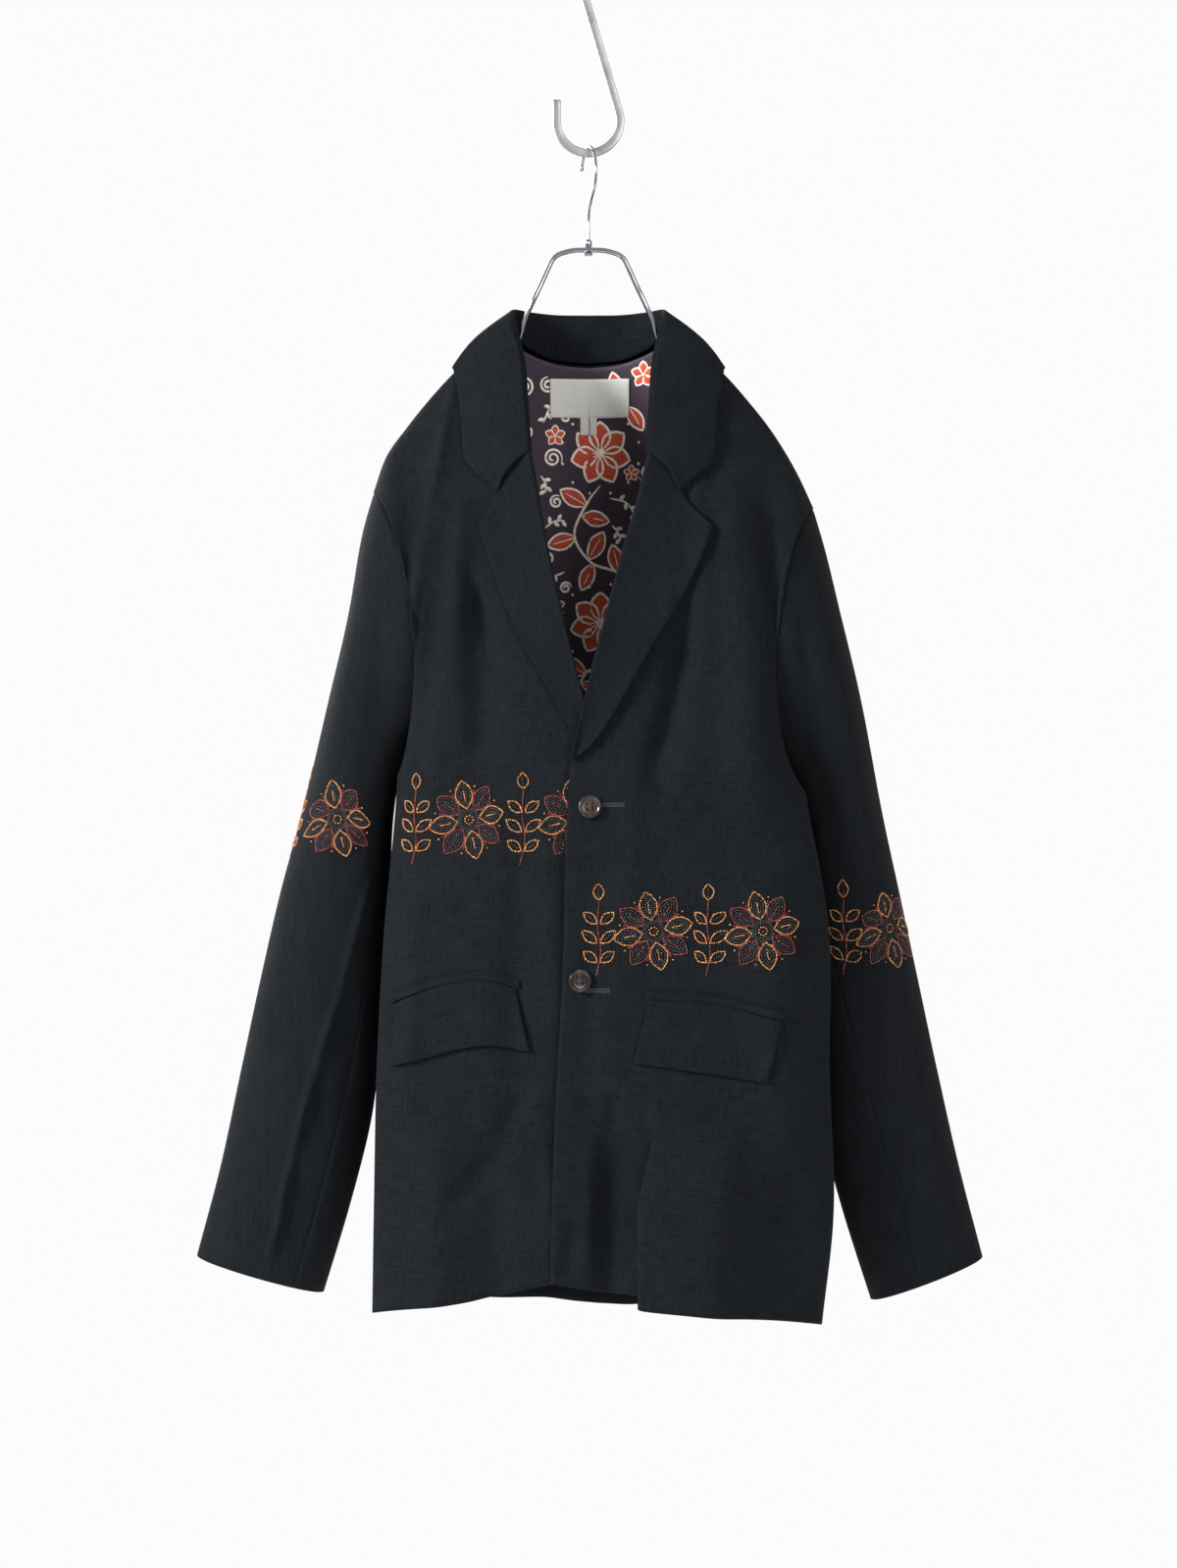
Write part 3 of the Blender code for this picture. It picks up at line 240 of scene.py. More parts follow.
SHOULDERS = {
    Side.RIGHT: (
        Point(0.00, -171, 5, -494),
        Point(0.13, -162, 6, -468),
        Point(0.30, -145, 8, -443),
        Point(0.50, -124, 9, -417),
        Point(0.70, -104, 10, -396),
        Point(0.86, -84, 12, -380),
        Point(1.00, -66, 14, -368),
    ),
    Side.LEFT: (
        Point(0.00, 179, 5, -507),
        Point(0.13, 167, 6, -481),
        Point(0.30, 149, 8, -450),
        Point(0.50, 126, 9, -420),
        Point(0.70, 104, 10, -396),
        Point(0.86, 84, 12, -380),
        Point(1.00, 67, 14, -368),
    ),
}

BACK_NECK = (
    Point(0.00, 66.5, 14, -368),
    Point(0.25, 60, 28, -374),
    Point(0.50, 46, 39, -381),
    Point(0.75, 25, 47, -387),
    Point(1.00, 0, 50, -389),
)

ARMHOLES = {
    Side.RIGHT: Armhole((-171, 5, -494), (-150, 5, -720), (-137, -62, -600), (-150, 80, -600)),
    Side.LEFT: Armhole((179, 5, -507), (165, 5, -735), (146, -62, -612), (158, 80, -612)),
}

SLEEVES = {
    Side.RIGHT: (
        SleeveRing(0.00, -171, -494, -150, -720, -62, 80, 23, 10),
        SleeveRing(0.06, -180, -526, -153, -733, -60, 84, 11, 5),
        SleeveRing(0.15, -191, -590, -156, -757, -57, 86, 2, 0),
        SleeveRing(0.27, -207, -660, -158, -792, -55, 84, 0, 0),
        SleeveRing(0.40, -227, -745, -160, -838, -53, 80, 0, 0),
        SleeveRing(0.55, -246, -815, -163, -892, -50, 76, 0, 0),
        SleeveRing(0.68, -262, -885, -167, -947, -47, 70, 0, 0),
        SleeveRing(0.80, -277, -955, -175, -1003, -42, 63, 0, 0),
        SleeveRing(0.90, -293, -1030, -191, -1065, -36, 55, 0, 0),
        SleeveRing(1.00, -312, -1102, -211, -1131, -28, 46, 0, 0),
    ),
    Side.LEFT: (
        SleeveRing(0.00, 179, -507, 165, -735, -62, 80, -26, -14),
        SleeveRing(0.06, 188, -538, 168, -748, -60, 84, -12, -7),
        SleeveRing(0.15, 201, -592, 171, -771, -57, 86, -2, 0),
        SleeveRing(0.27, 217, -660, 173, -803, -55, 84, 0, 0),
        SleeveRing(0.40, 233, -745, 176, -846, -53, 80, 0, 0),
        SleeveRing(0.55, 248, -815, 178, -897, -50, 76, 0, 0),
        SleeveRing(0.68, 263, -885, 181, -951, -47, 70, 0, 0),
        SleeveRing(0.80, 278, -955, 187, -1007, -42, 63, 0, 0),
        SleeveRing(0.90, 295, -1030, 203, -1068, -36, 55, 0, 0),
        SleeveRing(1.00, 314, -1103, 225, -1137, -28, 46, 0, 0),
    ),
}
FRONT_SEAM_AT_ARMHOLE = 150.0
FRONT_SEAM_AT_CUFF = {Side.RIGHT: 124.0, Side.LEFT: 98.0}
BACK_SEAM_ANGLE = 255.0

FOLDS = (
    Fold(Side.RIGHT, Face.FRONT, -108, -405, -140, -680, 5, 11),
    Fold(Side.RIGHT, Face.FRONT, -96, -470, -118, -700, 4, 12),
    Fold(Side.RIGHT, Face.FRONT, -84, -560, -80, -680, -5, 12),
    Fold(Side.RIGHT, Face.FRONT, -120, -960, -118, -1140, 4, 16),
    Fold(Side.RIGHT, Face.FRONT, -78, -990, -70, -1140, -4, 16),
    Fold(Side.LEFT, Face.FRONT, 112, -450, 128, -700, 9, 22),
    Fold(Side.LEFT, Face.FRONT, 78, -600, 54, -720, -5, 13),
    Fold(Side.LEFT, Face.FRONT, 134, -760, 150, -1000, 4, 20),
    Fold(Side.LEFT, Face.FRONT, 16, -990, 14, -1130, -6, 9),
    Fold(Side.LEFT, Face.FRONT, 110, -980, 96, -1140, 6, 20),
    Fold(Side.RIGHT, Face.BACK, -112, -560, -128, -1160, 9, 20),
    Fold(Side.RIGHT, Face.BACK, -70, -520, -78, -1160, -8, 18),
    Fold(Side.RIGHT, Face.BACK, -36, -700, -34, -1160, 8, 17),
    Fold(Side.LEFT, Face.BACK, 30, -640, 34, -1160, -9, 18),
    Fold(Side.LEFT, Face.BACK, 74, -540, 80, -1160, 9, 20),
    Fold(Side.LEFT, Face.BACK, 118, -620, 124, -1160, -7, 19),
)

PANEL_CREASES = {
    (Side.RIGHT, Face.FRONT): (
        Crease(-106, -402, -128, -520, 2.2, 5),
        Crease(-128, -520, -146, -660, 2.4, 5),
        Crease(-92, -560, -70, -640, -2.0, 6),
        Crease(-103, -480, -100, -740, 1.6, 9),
        Crease(-52, -740, -62, -1000, -1.8, 11),
        Crease(-134, -800, -140, -1010, 1.5, 9),
        Crease(-30, -760, -26, -930, 1.4, 8),
        Crease(-46, -952, -70, -1010, -2.2, 8),
        Crease(-70, -1010, -104, -1052, -1.8, 9),
        Crease(-36, -985, -22, -1100, 2.0, 8),
        Crease(-128, -960, -108, -985, 1.2, 6),
    ),
    (Side.LEFT, Face.FRONT): (
        Crease(84, -430, 92, -640, 1.6, 9),
        Crease(140, -500, 158, -690, -2.4, 8),
        Crease(158, -690, 178, -770, -1.8, 8),
        Crease(76, -582, 68, -662, -2.6, 7),
        Crease(68, -662, 50, -712, -2.0, 8),
        Crease(36, -720, 30, -880, 1.2, 10),
        Crease(4, -770, -2, -1010, -1.2, 9),
        Crease(60, -1040, 88, -1068, -1.8, 5),
        Crease(62, -976, 108, -979, -1.6, 5),
        Crease(20, -965, 16, -1000, -1.4, 6),
        Crease(-12, -1060, -16, -1110, -1.8, 6),
        Crease(2, -1000, 0, -1110, 1.4, 6),
        Crease(12, -985, 8, -1140, -3.0, 15),
        Crease(140, -1010, 122, -1110, 1.8, 10),
        Crease(172, -800, 182, -1000, -1.5, 10),
    ),
    (Side.RIGHT, Face.BACK): (
        Crease(-60, -420, -96, -520, 1.8, 9),
        Crease(-140, -600, -110, -760, -2.0, 9),
        Crease(-52, -900, -58, -1120, 1.6, 8),
        Crease(-98, -780, -96, -980, 1.5, 9),
    ),
    (Side.LEFT, Face.BACK): (
        Crease(52, -430, 90, -540, 1.6, 9),
        Crease(146, -610, 112, -740, -2.2, 9),
        Crease(56, -820, 52, -1010, 1.5, 8),
        Crease(100, -930, 104, -1130, 1.8, 8),
    ),
}

SLEEVE_CREASES = {
    (Side.RIGHT, Face.FRONT): (
        Crease(-170, -800, -196, -895, 2.4, 3.2),
        Crease(-196, -895, -212, -945, 3.6, 3.0),
        Crease(-212, -945, -231, -1012, 3.8, 3.0),
        Crease(-231, -1012, -250, -1100, 3.4, 3.0),
        Crease(-158, -560, -168, -700, -1.8, 9),
        Crease(-186, -560, -204, -740, 1.4, 10),
        Crease(-176, -770, -196, -800, -1.2, 7),
        Crease(-236, -820, -262, -960, 1.2, 11),
        Crease(-190, -900, -188, -1010, -1.4, 8),
    ),
    (Side.LEFT, Face.FRONT): (
        Crease(164, -560, 176, -700, -1.8, 8),
        Crease(176, -700, 196, -800, -1.4, 9),
        Crease(196, -600, 220, -760, 1.8, 9),
        Crease(232, -780, 262, -930, 1.4, 11),
        Crease(204, -900, 226, -1010, 1.2, 9),
        Crease(230, -1086, 252, -1092, 1.6, 4),
        Crease(262, -1086, 290, -1078, 1.4, 4),
    ),
    (Side.RIGHT, Face.BACK): (
        Crease(-176, -560, -206, -720, 2.0, 10),
        Crease(-166, -700, -182, -850, -2.2, 9),
        Crease(-222, -820, -254, -990, 1.8, 11),
        Crease(-196, -930, -222, -950, -1.6, 6),
    ),
    (Side.LEFT, Face.BACK): (
        Crease(184, -570, 208, -730, 2.2, 10),
        Crease(178, -720, 190, -860, -2.0, 9),
        Crease(234, -800, 268, -1000, 1.6, 11),
        Crease(204, -900, 232, -916, -1.8, 6),
    ),
}


def smoothstep(value: Array) -> Array:
    """0 up to 0, 1 from 1 on, and 3 t squared - 2 t cubed between."""
    held = np.clip(value, 0.0, 1.0)
    return held * held * (3.0 - 2.0 * held)


def spline(knots: Sequence, values: Sequence, at: Array) -> Array:
    """A smooth curve through values at the knots: cubic pieces whose slopes at a knot are shared.

    Args:
        knots: rising places of the values.
        values: a number or a row of numbers at each knot.
        at: where to read the curve.

    Returns:
        The curve's values at those places.
    """
    knots = np.asarray(knots, float)
    values = np.asarray(values, float)
    at = np.asarray(at, float)
    slopes = np.gradient(values, knots, axis=0)
    left = np.clip(np.searchsorted(knots, at, side="right") - 1, 0, len(knots) - 2)
    span = knots[left + 1] - knots[left]
    part = (at - knots[left]) / span
    if values.ndim > 1:
        span = span[..., None]
        part = part[..., None]
    start = 2 * part**3 - 3 * part**2 + 1
    start_slope = part**3 - 2 * part**2 + part
    end_slope = part**3 - part**2
    return (
        start * values[left]
        + (1 - start) * values[left + 1]
        + span * (start_slope * slopes[left] + end_slope * slopes[left + 1])
    )


def read(table: Sequence, at: Array) -> Array:
    """Each column of a table after its first, read along the spline through its rows.

    Args:
        table: rows whose first number is their share.
        at: the shares to read at.

    Returns:
        An array with one more axis than at, for the columns.
    """
    rows = np.array([tuple(row) for row in table], float)
    return spline(rows[:, 0], rows[:, 1:], at)


def stacked(x: Array, y: Array, z: Array) -> Array:
    """Three coordinates as points on a last axis of three."""
    return np.stack(np.broadcast_arrays(x, y, z), axis=-1).astype(float)


def unit(vectors: Array) -> Array:
    """Vectors on the last axis, each divided by its length."""
    return vectors / np.linalg.norm(vectors, axis=-1, keepdims=True)


def loop_point(ends: Sequence, angle: Array) -> Array:
    """A closed loop through four ends: m + a cos(angle) + b sin(angle).

    Here a runs between the ends out and inward, b between fore and aft, and m goes from the middle of the one
    pair to that of the other as sin squared.

    Args:
        ends: the points out, inward, fore and aft.
        angle: degrees, 0 at out, 90 at fore, 180 at inward and 270 at aft.

    Returns:
        The points at those angles.
    """
    out, inward, fore, aft = (np.asarray(end, float) for end in ends)
    c = np.cos(np.radians(angle))[..., None]
    s = np.sin(np.radians(angle))[..., None]
    middle = (out + inward) / 2 * (1 - s**2) + (fore + aft) / 2 * s**2
    return middle + (out - inward) / 2 * c + (fore - aft) / 2 * s


def even_quarter() -> tuple[Array, Array, Array]:
    """A squarish quarter turn, across = 1 - cos(t)^(2/n) and forward = sin(t)^(2/n), as even lengths.

    Returns:
        Shares of the quarter's length, and the shares across and forward there.
    """
    angle = np.pi / 4 * (1 - np.cos(np.linspace(0, np.pi, QUARTER_STEPS)))
    across = 1 - np.clip(np.cos(angle), 0, 1) ** (2 / BODY_SQUARENESS)
    forward = np.clip(np.sin(angle), 0, 1) ** (2 / BODY_SQUARENESS)
    pieces = np.hypot(np.diff(across) * QUARTER_WIDE, np.diff(forward) * QUARTER_DEEP)
    length = np.concatenate([[0], np.cumsum(pieces)])
    return length / length[-1], across, forward


QUARTER = even_quarter()


def crease_rise(creases: Sequence[Crease], points: Array) -> Array:
    """Sum of rise times exp(-(distance / half width) squared) over the creases, thinned out at their ends.

    Args:
        creases: the creases, placed by x and z.
        points: the points that they lift.

    Returns:
        How far each point is lifted.
    """
    rise = np.zeros(points.shape[:-1])
    seen = points[..., [0, 2]]
    for crease in creases:
        start = np.array([crease.x0, crease.z0], float)
        way = np.array([crease.x1, crease.z1], float) - start
        raw = ((seen - start) @ way) / (way @ way)
        along = np.clip(raw, 0.0, 1.0)
        gap = np.linalg.norm(seen - start - along[..., None] * way, axis=-1)
        ends = 0.35 + 0.65 * np.sin(np.pi * along)
        rise += crease.rise * ends * np.exp(-((gap / crease.half_width) ** 2))
    return CREASE_GAIN * rise


class Surface:
    """A cloth's outer face as a function of two parameters, with what is needed to lay things on it."""

    low = (0.0, 0.0)
    high = (1.0, 1.0)
    start_low = (0.0, 0.0)
    start_high = (1.0, 1.0)
    outward_y = -1.0
    step = 1e-3

    def at(self, a: Array, b: Array) -> Array:
        """Points at the parameters a and b."""
        raise NotImplementedError

    def frame_at(self, a: Array, b: Array) -> tuple[Array, Array, Array, Array]:
        """The point, the slopes by a and by b, and the unit normal that faces out, at a and b.

        Args:
            a: first parameter.
            b: second parameter.

        Returns:
            Points, slopes by a, slopes by b and normals.
        """
        span = np.subtract(self.high, self.low) * self.step
        here = self.at(a, b)
        by_a = (here - self.at(a - span[0], b)) / span[0]
        by_b = (here - self.at(a, b - span[1])) / span[1]
        return here, by_a, by_b, self.turned_out(here, unit(np.cross(by_a, by_b)))

    def turned_out(self, points: Array, facing: Array) -> Array:
        """Normals turned so that they face out of the garment."""
        return facing * np.where(facing[..., 1:2] * self.outward_y < 0, -1, 1)

    def locate(self, x: Array, z: Array) -> tuple[Array, Array]:
        """The parameters of the points that are seen at x and z, by Newton's method from a coarse start.

        Args:
            x: where each point is seen across.
            z: where each point is seen in height.

        Returns:
            The parameters a and b.
        """
        x, z = np.broadcast_arrays(np.asarray(x, float), np.asarray(z, float))
        steps_a = np.linspace(self.start_low[0], self.start_high[0], 25)
        steps_b = np.linspace(self.start_low[1], self.start_high[1], 49)
        grid_a, grid_b = np.meshgrid(steps_a, steps_b)
        coarse = self.at(grid_a, grid_b).reshape(-1, 3)
        far = (coarse[:, 0] - x.reshape(-1, 1)) ** 2 + (coarse[:, 2] - z.reshape(-1, 1)) ** 2
        start = far.argmin(axis=1)
        a = grid_a.reshape(-1)[start].reshape(x.shape)
        b = grid_b.reshape(-1)[start].reshape(x.shape)
        most = np.subtract(self.high, self.low) * 0.05
        for _ in range(12):
            here, by_a, by_b, _ = self.frame_at(a, b)
            miss_x = x - here[..., 0]
            miss_z = z - here[..., 2]
            area = by_a[..., 0] * by_b[..., 2] - by_b[..., 0] * by_a[..., 2]
            move_a = (miss_x * by_b[..., 2] - miss_z * by_b[..., 0]) / area
            move_b = (miss_z * by_a[..., 0] - miss_x * by_a[..., 2]) / area
            a = np.clip(a + np.clip(move_a, -most[0], most[0]), self.start_low[0], self.high[0])
            b = np.clip(b + np.clip(move_b, -most[1], most[1]), self.low[1], self.high[1])
        return a, b

    def lay(self, x: Array, z: Array, height: Array) -> Array:
        """Points over the cloth where it is seen at x and z, moved out along its normal by the height.

        Args:
            x: where each point is seen across.
            z: where each point is seen in height.
            height: how far out each point lies.

        Returns:
            The points.
        """
        here, _, _, facing = self.frame_at(*self.locate(x, z))
        return here + np.asarray(height, float)[..., None] * facing

    def spread(self, x: float, z: float, flat: Array, height: Array) -> tuple[Array, Array]:
        """A flat drawing laid on the cloth: its plane is bent onto the surface about the place at x and z.

        Args:
            x: where the drawing's middle is seen across.
            z: where its middle is seen in height.
            flat: places in the drawing, across and up, in millimetres from its middle.
            height: how far out each point lies.

        Returns:
            The points and the normals there.
        """
        a, b = self.locate(np.array([x]), np.array([z]))
        _, by_a, by_b, facing = (value[0] for value in self.frame_at(a, b))
        upward = unit(UP - (UP @ facing) * facing)
        across = np.cross(upward, facing)
        across = across if across[0] > 0 else -across
        sides = np.stack([by_a, by_b], axis=-1)
        moves = np.linalg.pinv(sides) @ np.stack([across, upward], axis=-1)
        places = flat @ moves.T
        here, _, _, normal = self.frame_at(a + places[:, 0], b + places[:, 1])
        return here + np.asarray(height, float)[..., None] * normal, normal


@dataclass(frozen=True)
class Panel(Surface):
    """Half of the body's front or back, as in the solids, with finer creases."""

    side: Side
    face: Face
    start_low = (0.2, 0.0)

    @property
    def outward_y(self) -> float:
        """The sign of Y that faces out."""
        return float(self.face.value)

    def outer_edge(self, v: Array) -> Array:
        """The side seam up to the armpit, then half of the armhole up to the shoulder."""
        level = read(SIDES[self.side], np.minimum(v, ARMPIT_SHARE))
        seam = stacked(level[..., 1], SIDE_SEAM_Y, level[..., 0])
        climb = np.clip((v - ARMPIT_SHARE) / (1 - ARMPIT_SHARE), 0.0, 1.0)
        turn = 180.0 * (1 - climb) if self.face == Face.FRONT else 180.0 + 180.0 * climb
        hole = ARMHOLES[self.side]
        loop = loop_point((hole.top, hole.bottom, hole.fore, hole.aft), turn)
        return np.where((v > ARMPIT_SHARE)[..., None], loop, seam)

    def inner_edge(self, v: Array) -> Array:
        """The front edge and roll line, or the middle of the back."""
        return read(FRONT_EDGES[self.side] if self.face == Face.FRONT else BACK_MIDDLE, v)

    def top_edge(self, u: Array) -> Array:
        """The shoulder seam and, on the back, half of the neck seam after it."""
        if self.face == Face.FRONT:
            return read(SHOULDERS[self.side], u)
        shoulder = read(SHOULDERS[self.side], np.minimum(u / NECK_SHARE_OF_BACK, 1.0))
        along = np.clip((u - NECK_SHARE_OF_BACK) / (1 - NECK_SHARE_OF_BACK), 0.0, 1.0)
        neck = read(BACK_NECK, along) * np.array([self.side, 1, 1])
        return np.where((u > NECK_SHARE_OF_BACK)[..., None], neck, shoulder)

    def fold_rise(self, points: Array, u: Array) -> Array:
        """Sum of rise exp(-(distance across / half width) squared) over the panel's folds, 0 at the seam."""
        rise = crease_rise(PANEL_CREASES[self.side, self.face], points)
        for fold in FOLDS:
            if (fold.side, fold.face) != (self.side, self.face):
                continue
            along = (points[..., 2] - fold.top_z) / (fold.bottom_z - fold.top_z)
            path = fold.top_x + (fold.bottom_x - fold.top_x) * along
            across = (points[..., 0] - path) / fold.half_width
            ends = smoothstep(along / 0.3) * smoothstep((1.35 - along) / 0.35)
            rise += FOLD_GAIN * fold.rise * ends * np.exp(-(across**2))
        return rise * smoothstep(u / 0.12)

    def deep_fold(self, points: Array) -> Array:
        """Moves the left front's points into its one deep fold, where the outer part lies over the inner one.

        Args:
            points: the panel's points.

        Returns:
            The points drawn over by w exp(-w squared) and pushed out by a smooth step, w the way across.
        """
        if (self.side, self.face) != (Side.LEFT, Face.FRONT):
            return points
        grown = smoothstep((DEEP_FOLD_TOP_Z - points[..., 2]) / (DEEP_FOLD_TOP_Z - DEEP_FOLD_FULL_Z))
        across = (points[..., 0] - DEEP_FOLD_X) / DEEP_FOLD_SPREAD
        moved = points.copy()
        moved[..., 0] -= DEEP_FOLD_REACH * grown * across * np.exp(-(across**2))
        near = (1 + np.tanh(across / DEEP_FOLD_TURN)) / 2
        moved[..., 1] -= DEEP_FOLD_DEPTH * grown * near * (1 - smoothstep((across - 1.0) / 4.5))
        return moved

    def at(self, a: Array, b: Array) -> Array:
        """Outer face: rows are squarish quarter turns, and the upper ones close onto the shoulder.

        Args:
            a: 0 at the side seam and armhole, 1 at the front edge or the middle of the back.
            b: 0 at the hem, 1 at the shoulder seam.

        Returns:
            The points.
        """
        u, v = np.broadcast_arrays(np.asarray(a, float), np.asarray(b, float))
        outer = self.outer_edge(v)
        inner = self.inner_edge(v)
        across = np.interp(u, QUARTER[0], QUARTER[1])
        forward = np.interp(u, QUARTER[0], QUARTER[2])
        arc = outer + (inner - outer) * stacked(across, forward, across)
        closing = smoothstep((v - TOP_BLEND_SHARE) / (1 - TOP_BLEND_SHARE))[..., None]
        end = np.ones_like(v)
        top = (
            self.top_edge(u)
            + (outer - self.outer_edge(end)) * ((1 - u) ** 2)[..., None]
            + (inner - self.inner_edge(end)) * (u**2)[..., None]
        )
        points = arc * (1 - closing) + top * closing
        ridge = read(SIDES[self.side], np.minimum(v, ARMPIT_SHARE))[..., 2 if self.face == Face.FRONT else 3]
        ridge = ridge * (1 - smoothstep((v - ARMPIT_SHARE) / RIDGE_FADE))
        at_corner = np.sin(np.pi * np.clip((u - RIDGE_FROM) / (RIDGE_TO - RIDGE_FROM), 0, 1)) ** 2
        points[..., 0] += self.side * ridge * at_corner
        points[..., 1] += self.face.value * (self.fold_rise(points, u) + SEAM_HALF_GAP)
        return self.deep_fold(points)


@dataclass(frozen=True)
class SleeveTube(Surface):
    """A sleeve's outer face: rings through four ends, from the armhole to the cuff."""

    side: Side
    low = (-105.0, 0.0)
    high = (255.0, 1.0)
    start_low = (5.0, 0.0)
    start_high = (175.0, 1.0)

    def turned_out(self, points: Array, facing: Array) -> Array:
        """Normals turned away from the sleeve's middle line."""
        share = np.clip((points[..., 2] + 610.0) / -505.0, 0.0, 1.0)
        middle = stacked(self.side * (165 + 100 * share), 10.0, points[..., 2])
        away = np.sum(facing * (points - middle), axis=-1, keepdims=True)
        return facing * np.where(away < 0, -1, 1)

    def at(self, a: Array, b: Array) -> Array:
        """Points of the sleeve: its ring at b, read at a, lifted by creases and tucked in at the armhole.

        Args:
            a: degrees round the ring, 0 at its outer end and 90 at its front.
            b: 0 at the armhole, 1 at the cuff.

        Returns:
            The points.
        """
        angle, s = np.broadcast_arrays(np.asarray(a, float), np.asarray(b, float))
        ring = read(SLEEVES[self.side], s)
        out = stacked(ring[..., 0], SIDE_SEAM_Y, ring[..., 1])
        inward = stacked(ring[..., 2], SIDE_SEAM_Y, ring[..., 3])
        middle = (out + inward) / 2
        fore = stacked(middle[..., 0] + ring[..., 6], ring[..., 4], middle[..., 2])
        aft = stacked(middle[..., 0] + ring[..., 7], ring[..., 5], middle[..., 2])
        points = loop_point((out, inward, fore, aft), angle)
        tucked = 1 - smoothstep(s / TUCK_REACH)
        points = middle + (points - middle) * (1 - ARMHOLE_SINK * tucked)[..., None]
        ahead = np.sin(np.radians(angle))
        rise = crease_rise(SLEEVE_CREASES[self.side, Face.BACK], points) * np.clip(-2 * ahead, 0, 1)
        rise -= crease_rise(SLEEVE_CREASES[self.side, Face.FRONT], points) * np.clip(2 * ahead, 0, 1)
        points[..., 1] += rise * smoothstep(s / 0.08)
        points[..., 0] += self.side * (ARMHOLE_SHIFT - ARMHOLE_TUCK * tucked)
        return points

    def seam_turned(self, angle: Array, s: Array) -> Array:
        """Angles shifted so that the front seam swings forward on its way down to the cuff.

        Args:
            angle: degrees round the ring.
            s: 0 at the armhole, 1 at the cuff.

        Returns:
            The shifted angles.
        """
        angle, s = np.broadcast_arrays(angle, s)
        share = np.where(
            angle < FRONT_SEAM_AT_ARMHOLE,
            np.clip(angle / FRONT_SEAM_AT_ARMHOLE, 0, 1),
            (BACK_SEAM_ANGLE - angle) / (BACK_SEAM_ANGLE - FRONT_SEAM_AT_ARMHOLE),
        )
        swing = FRONT_SEAM_AT_ARMHOLE - FRONT_SEAM_AT_CUFF[self.side]
        return angle - swing * share * smoothstep((s - 0.15) / 0.75)


def grid_normals(grid: Array, outward: Sequence) -> Array:
    """Unit normals of a grid of points: the cross product of its two slopes.

    Args:
        grid: rows and columns of points.
        outward: the way that the normal at the grid's middle has to face.

    Returns:
        A normal for each point.
    """
    face = unit(np.cross(np.gradient(grid, axis=1), np.gradient(grid, axis=0)))
    middle = face[face.shape[0] // 2, face.shape[1] // 2]
    return face if middle @ np.asarray(outward, float) > 0 else -face


def tube_normals(grid: Array) -> Array:
    """Unit normals of a closed tube of rings, facing away from each ring's middle."""
    across = np.roll(grid, -1, axis=1) - np.roll(grid, 1, axis=1)
    face = unit(np.cross(across, np.gradient(grid, axis=0)))
    spoke = grid - grid.mean(axis=1, keepdims=True)
    return face if np.einsum("ijk,ijk->ij", face, spoke).sum() > 0 else -face


def seam_facing(facing: Array) -> Array:
    """Normals at a seam between front and back, kept level across it so that the two rims meet flat."""
    return unit(facing * np.array([1.0, 0.0, 1.0]))


